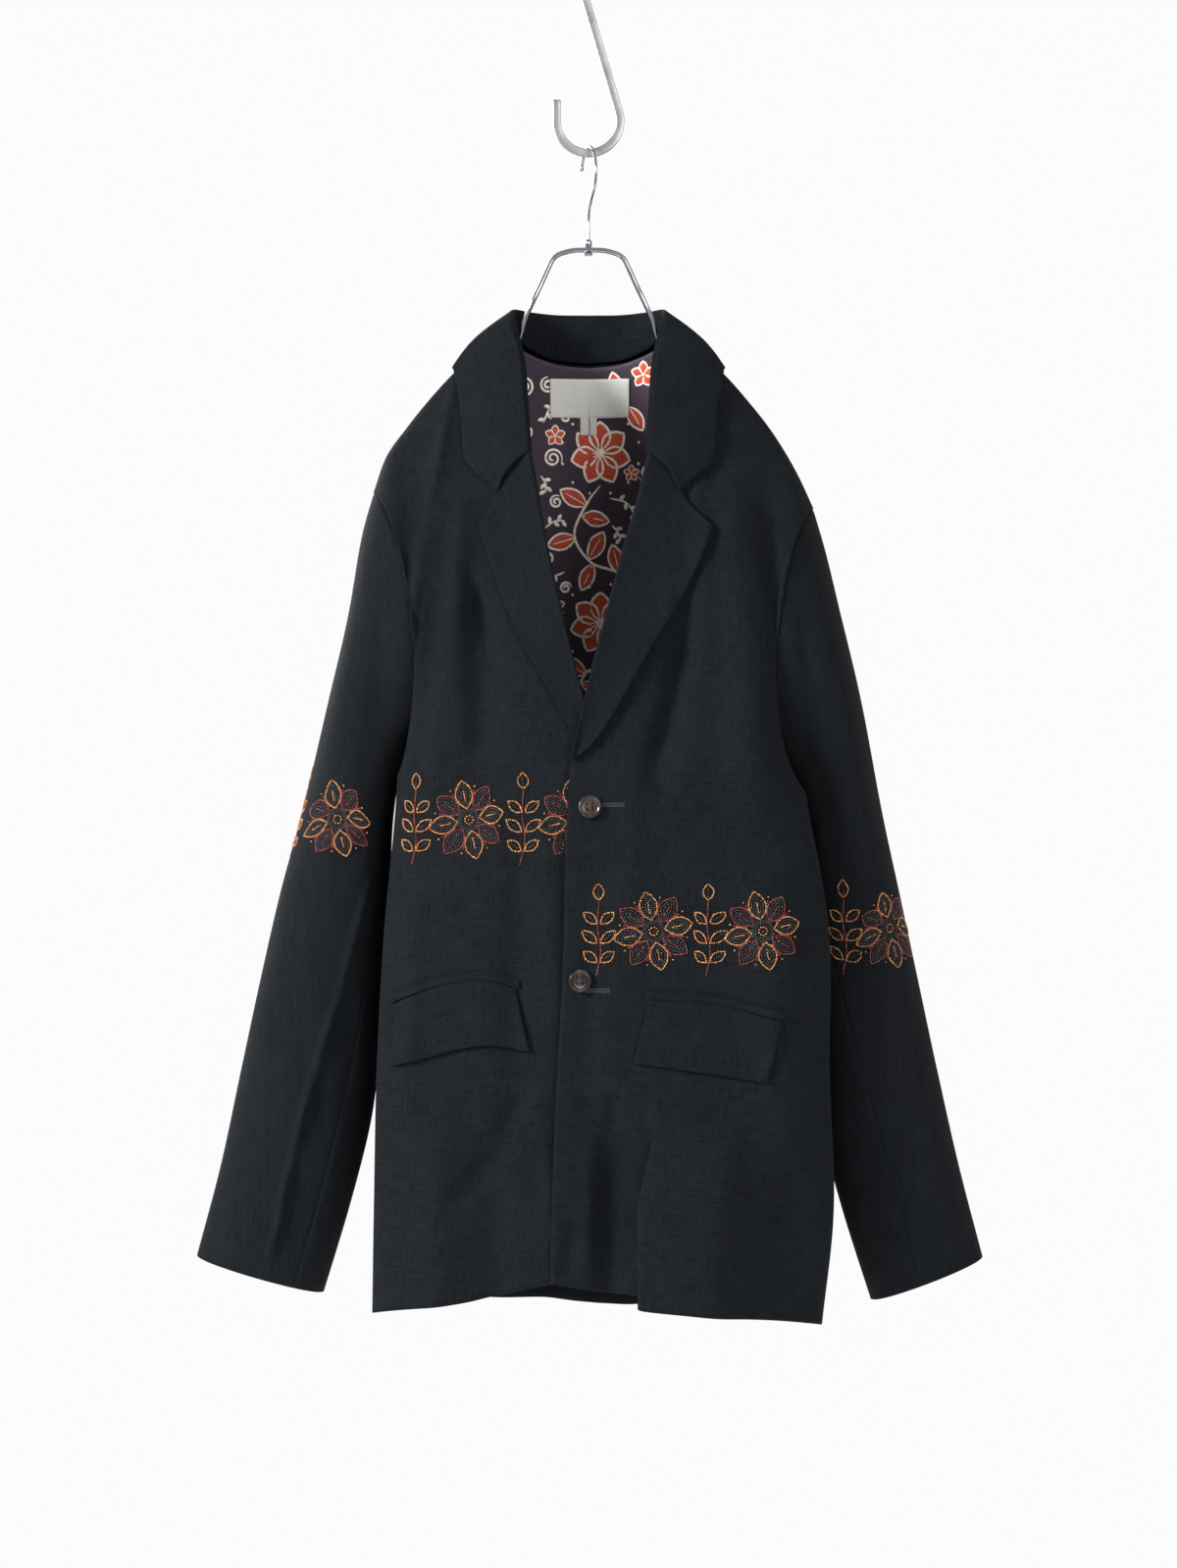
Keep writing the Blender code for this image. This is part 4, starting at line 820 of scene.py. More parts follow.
class Graph:
    """A material's nodes, with short ways to add and join them."""

    def __init__(self, name: str) -> None:
        """Makes an empty material that ends in one Principled shader."""
        self.material = bpy.data.materials.new(name)
        self.material.use_nodes = True
        self.tree = self.material.node_tree
        self.shader = self.tree.nodes["Principled BSDF"]

    def add(self, kind: str, inputs: dict | None = None, **settings: object) -> bpy.types.Node:
        """Adds a node.

        Args:
            kind: the node's type, without its "ShaderNode" start.
            inputs: values or sockets for its inputs, by name or number.
            settings: its own settings.

        Returns:
            The node.
        """
        node = self.tree.nodes.new("ShaderNode" + kind)
        for key, value in settings.items():
            setattr(node, key, value)
        for key, value in (inputs or {}).items():
            if isinstance(value, bpy.types.NodeSocket):
                self.tree.links.new(value, node.inputs[key])
            else:
                node.inputs[key].default_value = value
        return node

    def math(self, operation: str, first: object, second: object = 0.0) -> bpy.types.NodeSocket:
        """The result of a Math node on two numbers or sockets."""
        return self.add("Math", {0: first, 1: second}, operation=operation).outputs[0]

    def scaled(self, value: bpy.types.NodeSocket, factor: float, base: float) -> bpy.types.NodeSocket:
        """A value times a factor, plus a base."""
        return self.add("Math", {0: value, 1: factor, 2: base}, operation="MULTIPLY_ADD").outputs[0]

    def noise(self, vector: bpy.types.NodeSocket, scale: float, detail: float = 2.0) -> bpy.types.NodeSocket:
        """Noise from 0 to 1 at a scale."""
        return self.add("TexNoise", {"Vector": vector, "Scale": scale, "Detail": detail}).outputs[0]

    def stretched(self, vector: bpy.types.NodeSocket, scale: Sequence) -> bpy.types.NodeSocket:
        """A vector with each part multiplied."""
        return self.add("Mapping", {"Vector": vector, "Scale": tuple(scale)}).outputs[0]

    def mix(self, share: object, first: Sequence, second: Sequence) -> bpy.types.NodeSocket:
        """A colour between two, by a share or a socket."""
        first = (*first, 1.0) if len(first) == 3 else first
        second = (*second, 1.0) if len(second) == 3 else second
        made = self.add("Mix", data_type="RGBA")
        for socket, value in ((made.inputs[0], share), (made.inputs[6], first), (made.inputs[7], second)):
            if isinstance(value, bpy.types.NodeSocket):
                self.tree.links.new(value, socket)
            else:
                socket.default_value = value
        return made.outputs[2]

    def ramp(self, value: bpy.types.NodeSocket, low: float, high: float) -> bpy.types.NodeSocket:
        """A value stretched so that low becomes 0 and high becomes 1, held between them."""
        ends = {"Value": value, "From Min": low, "From Max": high}
        return self.add("MapRange", ends, clamp=True).outputs[0]

    def finish(
        self, colour: object, roughness: object, height: object, depth: float, **fixed: object
    ) -> bpy.types.Material:
        """Joins colour, roughness and bump to the shader and sets its fixed sockets.

        Args:
            colour: a colour or a socket.
            roughness: a number or a socket.
            height: the bump's height socket, or None.
            depth: the bump's depth in millimetres.
            fixed: values of the shader's own sockets, by name with _ for a space.

        Returns:
            The material.
        """
        values = {"Base Color": colour, "Roughness": roughness}
        if height is not None:
            bump = self.add("Bump", {"Height": height, "Distance": depth * MM, "Strength": 1.0})
            values["Normal"] = bump.outputs[0]
        values.update({key.replace("_", " "): value for key, value in fixed.items()})
        for key, value in values.items():
            socket = self.shader.inputs[key]
            if isinstance(value, bpy.types.NodeSocket):
                self.tree.links.new(value, socket)
            else:
                is_colour = isinstance(value, tuple) and len(value) == 3
                socket.default_value = (*value, 1.0) if is_colour else value
        return self.material


@dataclass(frozen=True)
class WovenFinish:
    """A plain weave on the piece's grain map, with slubs both ways, mottling and a soft sheen.

    The threads' height is the larger of abs(sin(pi x / pitch)) and abs(sin(pi y / pitch)). Both are weighted
    by which of the two lies on top there, which the sign of the product of the two sines tells.
    """

    name: str
    dark: tuple
    light: tuple
    pitch: float
    slub: float
    roughness: float
    sheen: float
    sheen_tint: tuple
    depth: float = 0.16
    specular: float = 0.25

    def material(self) -> bpy.types.Material:
        """Builds the material."""
        graph = Graph(self.name)
        grain = graph.add("UVMap", uv_map="grain").outputs[0]
        parts = graph.add("SeparateXYZ", {0: grain}).outputs
        turns = np.pi / (self.pitch * MM)
        warp = graph.math("SINE", graph.math("MULTIPLY", parts[0], turns))
        weft = graph.math("SINE", graph.math("MULTIPLY", parts[1], turns))
        over = graph.ramp(graph.math("MULTIPLY", warp, weft), -0.3, 0.3)
        warp_up = graph.math("MULTIPLY", graph.math("ABSOLUTE", warp), graph.scaled(over, 0.8, 0.2))
        weft_up = graph.math("MULTIPLY", graph.math("ABSOLUTE", weft), graph.scaled(over, -0.8, 1.0))
        threads = graph.math("MAXIMUM", warp_up, weft_up)
        down = graph.noise(graph.stretched(grain, (900.0, 60.0, 1.0)), 1.0)
        across = graph.noise(graph.stretched(grain, (55.0, 850.0, 1.0)), 1.0)
        slubs = graph.ramp(graph.math("ADD", down, across), 0.72, 1.28)
        mottle = graph.ramp(graph.noise(grain, 14.0, 3.0), 0.3, 0.7)
        share = graph.math("ADD", graph.scaled(slubs, self.slub, 0.0), graph.scaled(threads, 0.35, 0.0))
        share = graph.math("ADD", share, graph.scaled(mottle, 0.25, -0.05))
        colour = graph.mix(share, self.dark, self.light)
        rough = graph.scaled(slubs, -0.12, self.roughness + 0.06)
        height = graph.math("ADD", threads, graph.scaled(slubs, 1.1, 0.0))
        return graph.finish(
            colour,
            rough,
            height,
            self.depth,
            Sheen_Weight=self.sheen,
            Sheen_Roughness=0.45,
            Sheen_Tint=(*self.sheen_tint, 1.0),
            Specular_IOR_Level=self.specular,
        )


@dataclass(frozen=True)
class InkFinish:
    """Block-printed ink on cloth: uneven colour that lets a little ground through."""

    name: str
    colour: tuple
    worn: tuple

    def material(self) -> bpy.types.Material:
        """Builds the material."""
        graph = Graph(self.name)
        place = graph.add("TexCoord").outputs["Object"]
        patches = graph.ramp(graph.noise(place, 380.0, 4.0), 0.46, 0.74)
        fine = graph.noise(place, 2200.0, 2.0)
        colour = graph.mix(graph.scaled(patches, 0.7, 0.0), self.colour, self.worn)
        return graph.finish(colour, graph.scaled(fine, 0.3, 0.45), fine, 0.05, Specular_IOR_Level=0.25)


@dataclass(frozen=True)
class MetalFinish:
    """Bare metal with fine scratches along Z or all round, and a little tarnish."""

    name: str
    colour: tuple
    dull: tuple
    roughness: float
    spread: float
    stretch: tuple
    depth: float

    def material(self) -> bpy.types.Material:
        """Builds the material."""
        graph = Graph(self.name)
        place = graph.add("TexCoord").outputs["Object"]
        scratches = graph.noise(graph.stretched(place, self.stretch), 1.0, 3.0)
        clouds = graph.ramp(graph.noise(place, 60.0, 3.0), 0.35, 0.7)
        colour = graph.mix(clouds, self.colour, self.dull)
        rough = graph.scaled(scratches, self.spread, self.roughness)
        return graph.finish(colour, rough, scratches, self.depth, Metallic=1.0)


@dataclass(frozen=True)
class HornFinish:
    """Polished dark horn: brown and black clouds under a clear coat."""

    name: str = "horn"
    dark: tuple = (0.008, 0.006, 0.006)
    light: tuple = (0.050, 0.030, 0.020)

    def material(self) -> bpy.types.Material:
        """Builds the material."""
        graph = Graph(self.name)
        place = graph.add("TexCoord").outputs["Object"]
        streaks = graph.ramp(graph.noise(graph.stretched(place, (260.0, 90.0, 90.0)), 1.0, 4.0), 0.42, 0.75)
        fine = graph.noise(place, 1400.0, 2.0)
        colour = graph.mix(streaks, self.dark, self.light)
        rough = graph.scaled(fine, 0.16, 0.14)
        coat = {"Coat_Weight": 0.1, "Coat_Roughness": 0.25}
        return graph.finish(colour, rough, fine, 0.02, Specular_IOR_Level=0.3, **coat)


@dataclass(frozen=True)
class BeadFinish:
    """Small glass beads, each of a slightly different shade from its own tint attribute."""

    name: str
    dark: tuple
    light: tuple

    def material(self) -> bpy.types.Material:
        """Builds the material."""
        graph = Graph(self.name)
        tint = graph.add("Attribute", attribute_name="tint").outputs["Fac"]
        place = graph.add("TexCoord").outputs["Object"]
        fine = graph.noise(place, 1800.0, 1.0)
        colour = graph.mix(tint, self.dark, self.light)
        rough = graph.scaled(fine, 0.2, 0.12)
        return graph.finish(colour, rough, fine, 0.02, Coat_Weight=0.35, Coat_Roughness=0.08)


@dataclass(frozen=True)
class ThreadFinish:
    """Twisted thread, with fine diagonal fibres."""

    name: str
    dark: tuple
    light: tuple

    def material(self) -> bpy.types.Material:
        """Builds the material."""
        graph = Graph(self.name)
        place = graph.add("TexCoord").outputs["Object"]
        mapping = {"Vector": place, "Rotation": (0.0, 0.8, 0.0), "Scale": (1.0, 1.0, 0.2)}
        turned = graph.add("Mapping", mapping)
        fibres = graph.noise(turned.outputs[0], 4200.0, 2.0)
        colour = graph.mix(fibres, self.dark, self.light)
        rough = graph.scaled(fibres, 0.3, 0.35)
        return graph.finish(colour, rough, fibres, 0.05, Sheen_Weight=0.2, Sheen_Roughness=0.4)


class Finish(Enum):
    """The finishes of the blazer, its trimmings and its hanger."""

    CLOTH = WovenFinish(
        "charcoal_weave",
        dark=(0.0010, 0.0015, 0.0021),
        light=(0.0060, 0.0080, 0.0104),
        pitch=0.75,
        slub=0.75,
        roughness=0.9,
        sheen=0.01,
        sheen_tint=(0.6, 0.65, 0.75),
        specular=0.12,
    )
    LINING = WovenFinish(
        "aubergine_lining",
        dark=(0.026, 0.015, 0.026),
        light=(0.050, 0.030, 0.052),
        pitch=0.3,
        slub=0.35,
        roughness=0.5,
        sheen=0.2,
        sheen_tint=(0.8, 0.6, 0.8),
        depth=0.05,
        specular=0.4,
    )
    LABEL = WovenFinish(
        "white_weave",
        dark=(0.62, 0.60, 0.55),
        light=(0.86, 0.85, 0.80),
        pitch=0.42,
        slub=0.3,
        roughness=0.7,
        sheen=0.1,
        sheen_tint=(1.0, 1.0, 1.0),
        depth=0.1,
    )
    CREAM = InkFinish("cream_ink", (0.97, 0.88, 0.76), (0.46, 0.36, 0.32))
    BRICK = InkFinish("brick_ink", (0.60, 0.085, 0.040), (0.30, 0.045, 0.032))
    CHROME = MetalFinish(
        "polished_chrome",
        colour=(0.40, 0.42, 0.46),
        dull=(0.26, 0.27, 0.30),
        roughness=0.05,
        spread=0.10,
        stretch=(500.0, 500.0, 500.0),
        depth=0.004,
    )
    STEEL = MetalFinish(
        "brushed_steel",
        colour=(0.40, 0.40, 0.39),
        dull=(0.26, 0.26, 0.255),
        roughness=0.24,
        spread=0.22,
        stretch=(1500.0, 1500.0, 40.0),
        depth=0.012,
    )
    HORN = HornFinish()
    AMBER_BEADS = BeadFinish("amber_glass", (0.30, 0.095, 0.020), (0.62, 0.30, 0.09))
    RED_BEADS = BeadFinish("dark_red_glass", (0.09, 0.010, 0.008), (0.26, 0.038, 0.024))
    BLACK_BEADS = BeadFinish("black_glass", (0.004, 0.004, 0.006), (0.020, 0.018, 0.022))
    BLACK_THREAD = ThreadFinish("black_thread", (0.003, 0.004, 0.005), (0.012, 0.014, 0.018))


MATERIALS: dict = {}


def material_of(finish: Finish) -> bpy.types.Material:
    """The finish's material, made when it is first used."""
    if finish not in MATERIALS:
        MATERIALS[finish] = finish.value.material()
    return MATERIALS[finish]


def make_piece(
    name: str,
    points: Array,
    faces: Sequence[Array],
    finish: Finish,
    slot: str = "",
    nodes: Sequence[str] = (),
    grain: Array | None = None,
    tint: Array | None = None,
) -> bpy.types.Object:
    """Puts whole arrays into one mesh, turned outward, gives it its finish, hangs its object under the root and
    hides the solids that it stands for.

    Args:
        name: the piece's name.
        points: its points in millimetres.
        faces: arrays of faces, each with its own number of corners.
        finish: its finish.
        slot: not used.
        nodes: the solids that it stands for.
        grain: places on the cloth's grain for each point, in metres.
        tint: a number from 0 to 1 for each point.

    Returns:
        The object.
    """
    points = np.asarray(points, float)
    fans = [(f[:, 0], f[:, k], f[:, k + 1]) for f in faces for k in range(1, f.shape[1] - 1)]
    middle = points.mean(axis=0)
    volume = sum(
        np.einsum("ij,ij->", points[a] - middle, np.cross(points[b] - middle, points[c] - middle))
        for a, b, c in fans
    )
    turned = [f[:, ::-1] if volume < 0 else f for f in faces]
    corners = np.concatenate([f.reshape(-1) for f in turned]).astype(np.int32)
    sizes = np.concatenate([np.full(len(f), f.shape[1]) for f in turned])
    mesh = bpy.data.meshes.new(name)
    mesh.vertices.add(len(points))
    mesh.vertices.foreach_set("co", (points * MM).astype(np.float32).reshape(-1))
    mesh.loops.add(len(corners))
    mesh.loops.foreach_set("vertex_index", corners)
    mesh.polygons.add(len(sizes))
    mesh.polygons.foreach_set("loop_start", np.concatenate([[0], np.cumsum(sizes)[:-1]]).astype(np.int32))
    mesh.update(calc_edges=True)
    if grain is not None:
        mesh.uv_layers.new(name="grain").data.foreach_set("uv", grain[corners].astype(np.float32).reshape(-1))
    if tint is not None:
        mesh.attributes.new("tint", "FLOAT", "POINT").data.foreach_set("value", tint.astype(np.float32))
    mesh.materials.append(material_of(finish))
    mesh.shade_smooth()
    made = bpy.data.objects.new(name, mesh)
    bpy.context.scene.collection.objects.link(made)
    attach(made, "root")
    if nodes:
        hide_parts(*nodes)
    LOG.info("%s: %d triangles", name, int((sizes - 2).sum()))
    return made


def shell(
    name: str,
    outer: Array,
    inner: Array,
    finish: Finish,
    slot: str = "",
    nodes: Sequence[str] = (),
) -> bpy.types.Object:
    """A closed wall between two grids of points, with a rounded rim and its grain along rows and columns.

    Args:
        name: the piece's name.
        outer: rows and columns of points of one skin.
        inner: the other skin, with the same rows and columns.
        finish: its finish.
        slot: not used; it is only passed on.
        nodes: the solids that it stands for.

    Returns:
        The object.
    """
    rows, columns = outer.shape[:2]
    count = rows * columns
    index = np.arange(count).reshape(rows, columns)
    cells = np.stack([index[:-1, :-1], index[:-1, 1:], index[1:, 1:], index[1:, :-1]], axis=-1).reshape(-1, 4)
    border = np.concatenate([index[0, :-1], index[:-1, -1], index[-1, :0:-1], index[:0:-1, 0]])
    inset = index[np.clip(border // columns, 1, rows - 2), np.clip(border % columns, 1, columns - 2)]
    flat_outer = outer.reshape(-1, 3)
    flat_inner = inner.reshape(-1, 3)
    rim = (flat_outer[border] + flat_inner[border]) / 2
    rim = rim + RIM_BULGE * unit(flat_outer[border] - flat_outer[inset])
    here = 2 * count + np.arange(len(border))
    after = np.roll(border, -1)
    beyond = np.roll(here, -1)
    faces = [
        cells,
        cells[:, ::-1] + count,
        np.stack([after, border, here, beyond], axis=-1),
        np.stack([beyond, here, border + count, after + count], axis=-1),
    ]
    across = np.pad(np.linalg.norm(np.diff(outer, axis=1), axis=-1), ((0, 0), (1, 0))).cumsum(axis=1)
    across -= across[:, columns // 2 : columns // 2 + 1]
    down = np.pad(np.linalg.norm(np.diff(outer, axis=0), axis=-1), ((1, 0), (0, 0))).cumsum(axis=0)
    grain = np.stack([across, down], axis=-1).reshape(-1, 2) * MM
    diagonals = outer[1:, 1:] - outer[:-1, :-1], outer[1:, :-1] - outer[:-1, 1:]
    cell_area = np.linalg.norm(np.cross(*diagonals), axis=-1) / 2
    size = np.array([np.ptp(across, axis=1).max(), np.ptp(down, axis=0).max()]) * MM
    LOG.info("%s: %.3f by %.3f m of cloth, %.4f square metres", name, *size, cell_area.sum() * MM * MM)
    points = np.concatenate([flat_outer, flat_inner, rim])
    return make_piece(name, points, faces, finish, slot, nodes, np.concatenate([grain, grain, grain[border]]))


def bar(
    name: str,
    path: Array,
    radii: Array,
    section: Array,
    level: Sequence,
    finish: Finish,
    slot: str,
    nodes: Sequence[str],
) -> bpy.types.Object:
    """A bar: a section's outline carried along a path and closed by a fan at each end.

    Args:
        name: the piece's name.
        path: the points that it follows.
        radii: what the section is multiplied by at each point.
        section: the outline, across the path and along the level direction.
        level: a direction square to the path, along the section's second number.
        finish: its finish.
        slot: not used; it is only passed on.
        nodes: the solids that it stands for.

    Returns:
        The object.
    """
    way = unit(np.gradient(path, axis=0))
    across = unit(np.cross(way, level))
    third = np.cross(across, way)
    rings = path[:, None] + radii[:, None, None] * (
        across[:, None] * section[None, :, :1] + third[:, None] * section[None, :, 1:]
    )
    count, sides = rings.shape[:2]
    index = np.arange(count * sides).reshape(count, sides)
    over = np.roll(index, -1, axis=1)
    quads = np.stack([over[:-1], index[:-1], index[1:], over[1:]], axis=-1).reshape(-1, 4)
    first = np.stack([index[0], over[0], np.full(sides, count * sides)], axis=-1)
    last = np.stack([over[-1], index[-1], np.full(sides, count * sides + 1)], axis=-1)
    points = np.concatenate([rings.reshape(-1, 3), path[:1], path[-1:]])
    return make_piece(name, points, [quads, first, last], finish, slot, nodes)


def turned_rings(profile: Sequence, centre: Array, axis: Array, sides: int) -> tuple[Array, list]:
    """A solid turned about an axis, from a profile of radii and heights with both ends on the axis.

    Args:
        profile: pairs of radius and height, the first and last with radius 0.
        centre: where height 0 is on the axis.
        axis: the axis.
        sides: how many sides it has.

    Returns:
        The points and the arrays of faces.
    """
    axis = unit(np.asarray(axis, float))
    helper = UP if abs(axis[2]) < 0.9 else np.array([0.0, 1.0, 0.0])
    first = unit(np.cross(helper, axis))
    second = np.cross(axis, first)
    turn = np.linspace(0, 2 * np.pi, sides, endpoint=False)[:, None]
    ring = np.cos(turn) * first + np.sin(turn) * second
    table = np.asarray(profile, float)
    rings = centre + table[1:-1, None, 1:] * axis + table[1:-1, None, :1] * ring
    ends = np.asarray(centre, float) + table[[0, -1], 1][:, None] * axis
    count = len(rings)
    index = np.arange(count * sides).reshape(count, sides)
    over = np.roll(index, -1, axis=1)
    quads = np.stack([index[:-1], over[:-1], over[1:], index[1:]], axis=-1).reshape(-1, 4)
    low = np.stack([over[0], index[0], np.full(sides, count * sides)], axis=-1)
    high = np.stack([index[-1], over[-1], np.full(sides, count * sides + 1)], axis=-1)
    return np.concatenate([rings.reshape(-1, 3), ends]), [quads, low, high]


def circle(sides: int) -> Array:
    """A circle of radius 1 as an outline."""
    turn = np.linspace(0, 2 * np.pi, sides, endpoint=False)
    return np.stack([np.cos(turn), np.sin(turn)], axis=-1)


def evened(route: Array, count: int) -> Array:
    """A smooth curve through a route's points, read at even lengths."""
    length = np.concatenate([[0], np.cumsum(np.linalg.norm(np.diff(route, axis=0), axis=1))])
    return spline(length, route, np.linspace(0, length[-1], count))


def copies(
    template: Array, faces: Sequence[Array], centres: Array, axes: Array, sizes: Array
) -> tuple[Array, list]:
    """Many copies of one small solid: point = centre + size (x first + y second + z axis).

    Args:
        template: the solid's points.
        faces: its arrays of faces.
        centres: where each copy stands.
        axes: the way that each copy's z faces.
        sizes: each copy's size.

    Returns:
        The points of all copies and their arrays of faces.
    """
    axis = unit(axes)
    first = unit(np.cross(np.where(np.abs(axis[:, 2:]) < 0.9, UP, [0.0, 1.0, 0.0]), axis))
    second = np.cross(axis, first)
    base = np.stack([first, second, axis], axis=1)
    points = centres[:, None] + sizes[:, None, None] * np.einsum("pk,nkj->npj", template, base)
    shift = (np.arange(len(centres)) * len(template))[:, None, None]
    return points.reshape(-1, 3), [(f[None] + shift).reshape(-1, f.shape[1]) for f in faces]


def strands(
    starts: Array,
    ends: Array,
    up: Array,
    radius: float,
    arch: float,
    rings: int = 5,
    sides: int = 4,
) -> tuple[Array, list]:
    """Short lengths of thread, each arched up from its start to its end: point = line + arch sin(pi t) up.

    Args:
        starts: where each thread comes up.
        ends: where it goes down.
        up: the way that each one arches.
        radius: half the thread's thickness.
        arch: how high it arches.
        rings: rings along a thread.
        sides: sides of its section.

    Returns:
        The points of all threads and their arrays of faces.
    """
    t = np.linspace(0, 1, rings)[None, :, None]
    line = starts[:, None] * (1 - t) + ends[:, None] * t + arch * np.sin(np.pi * t) * up[:, None]
    way = unit(ends - starts)[:, None]
    side = unit(np.cross(way, up[:, None]))
    over = np.cross(side, way)
    round_ = circle(sides)
    thick = radius * np.where((t == 0) | (t == 1), 0.45, 1.0)
    body = line[:, :, None] + thick[..., None] * (
        side[:, :, None] * round_[None, None, :, :1] + over[:, :, None] * round_[None, None, :, 1:]
    )
    index = np.arange(rings * sides).reshape(rings, sides)
    beyond = np.roll(index, -1, axis=1)
    one = np.stack([beyond[:-1], index[:-1], index[1:], beyond[1:]], axis=-1).reshape(-1, 4)
    caps = np.concatenate([index[:1], index[-1:, ::-1]])
    shift = (np.arange(len(starts)) * rings * sides)[:, None, None]
    return body.reshape(-1, 3), [(one[None] + shift).reshape(-1, 4), (caps[None] + shift).reshape(-1, sides)]


@dataclass(frozen=True)
class BodyPanels:
    """The two fronts and the back, each a fine wall on its solid's form."""

    rows: int = 176
    front_columns: int = 58
    folded_columns: int = 76
    back_columns: int = 54
    crowded_from: tuple = (0.0, 0.4, 0.9, 1.0)
    crowded_to: tuple = (0.0, 0.55, 0.92, 1.0)

    def fronts(self) -> None:
        """Makes the fronts. The left one has more columns where its deep fold turns."""
        v = np.linspace(0, 1, self.rows + 1)
        even = np.linspace(0, 1, self.front_columns + 1)
        crowded = np.interp(np.linspace(0, 1, self.folded_columns + 1), self.crowded_from, self.crowded_to)
        for side, u in ((Side.RIGHT, even), (Side.LEFT, crowded)):
            grid = Panel(side, Face.FRONT).at(u[None, :], v[:, None])
            facing = grid_normals(grid, (0, -1, 0))
            low = v <= ARMPIT_SHARE
            facing[-1] = seam_facing(facing[-1])
            facing[low, 0] = seam_facing(facing[low, 0])
            name = f"front_{side.word}"
            shell(f"{name}_cloth", grid, grid - PANEL_WALL * facing, Finish.CLOTH, "blazer_cloth", [name])

    def back(self) -> None:
        """Makes the back from its right side seam to its left one."""
        v = np.linspace(0, 1, self.rows + 1)
        u = np.linspace(0, 1, self.back_columns + 1)
        right, left = (Panel(side, Face.BACK).at(u[None, :], v[:, None]) for side in Side)
        middle = (right[:, -1:] + left[:, -1:]) / 2
        grid = np.concatenate([right[:, :-1], middle, left[:, -2::-1]], axis=1)
        facing = grid_normals(grid, (0, 1, 0))
        low = v <= ARMPIT_SHARE
        for column in (0, -1):
            facing[low, column] = seam_facing(facing[low, column])
        facing[-1] = seam_facing(facing[-1])
        shell("back_cloth", grid, grid - PANEL_WALL * facing, Finish.CLOTH, "blazer_cloth", ["back"])

    def build(self) -> None:
        """Makes all three panels."""
        self.fronts()
        self.back()


@dataclass(frozen=True)
class Sleeves:
    """Two-piece sleeves, each cut from one tube of rings into an upper and an under piece."""

    rows: int = 132
    row_power: float = 1.15
    step: float = 3.75

    def build(self) -> None:
        """Makes the four pieces."""
        s = np.linspace(0, 1, self.rows + 1) ** self.row_power
        angle = np.arange(BACK_SEAM_ANGLE - 360.0, BACK_SEAM_ANGLE, self.step)
        front = int(round((FRONT_SEAM_AT_ARMHOLE - angle[0]) / self.step))
        cuts = {"upper": np.arange(0, front + 1), "under": np.arange(front, len(angle) + 1) % len(angle)}
        for side in Side:
            tube = SleeveTube(side)
            grid = tube.at(tube.seam_turned(angle[None, :], s[:, None]), s[:, None])
            facing = tube_normals(grid)
            facing[0, facing[0, :, 0] * side > 0, 0] = 0
            facing[0] = unit(facing[0])
            for word, columns in cuts.items():
                outer = grid[:, columns]
                inner = outer - SLEEVE_WALL * facing[:, columns]
                for skin in (outer, inner):
                    skin[:, 0] += SEAM_HALF_GAP * unit(skin[:, 1] - skin[:, 0])
                    skin[:, -1] += SEAM_HALF_GAP * unit(skin[:, -2] - skin[:, -1])
                name = f"{word}_sleeve_{side.word}"
                shell(f"{name}_cloth", outer, inner, Finish.CLOTH, "blazer_cloth", [name])


class LapelPoint(NamedTuple):
    """One point of a lapel's outer edge, from its tip down to the end of the roll line."""

    share: float
    x: float
    z: float


LAPELS = {
    Side.RIGHT: (
        LapelPoint(0.00, -86, -525),
        LapelPoint(0.25, -69, -573),
        LapelPoint(0.45, -52, -614),
        LapelPoint(0.65, -32, -651),
        LapelPoint(0.85, -9, -690),
        LapelPoint(1.00, 9, -704),
    ),
    Side.LEFT: (
        LapelPoint(0.00, 96, -528),
        LapelPoint(0.12, 84, -561),
        LapelPoint(0.25, 67, -590),
        LapelPoint(0.45, 43, -631),
        LapelPoint(0.70, 18, -675),
        LapelPoint(0.85, 3, -696),
        LapelPoint(1.00, -13, -709),
    ),
}


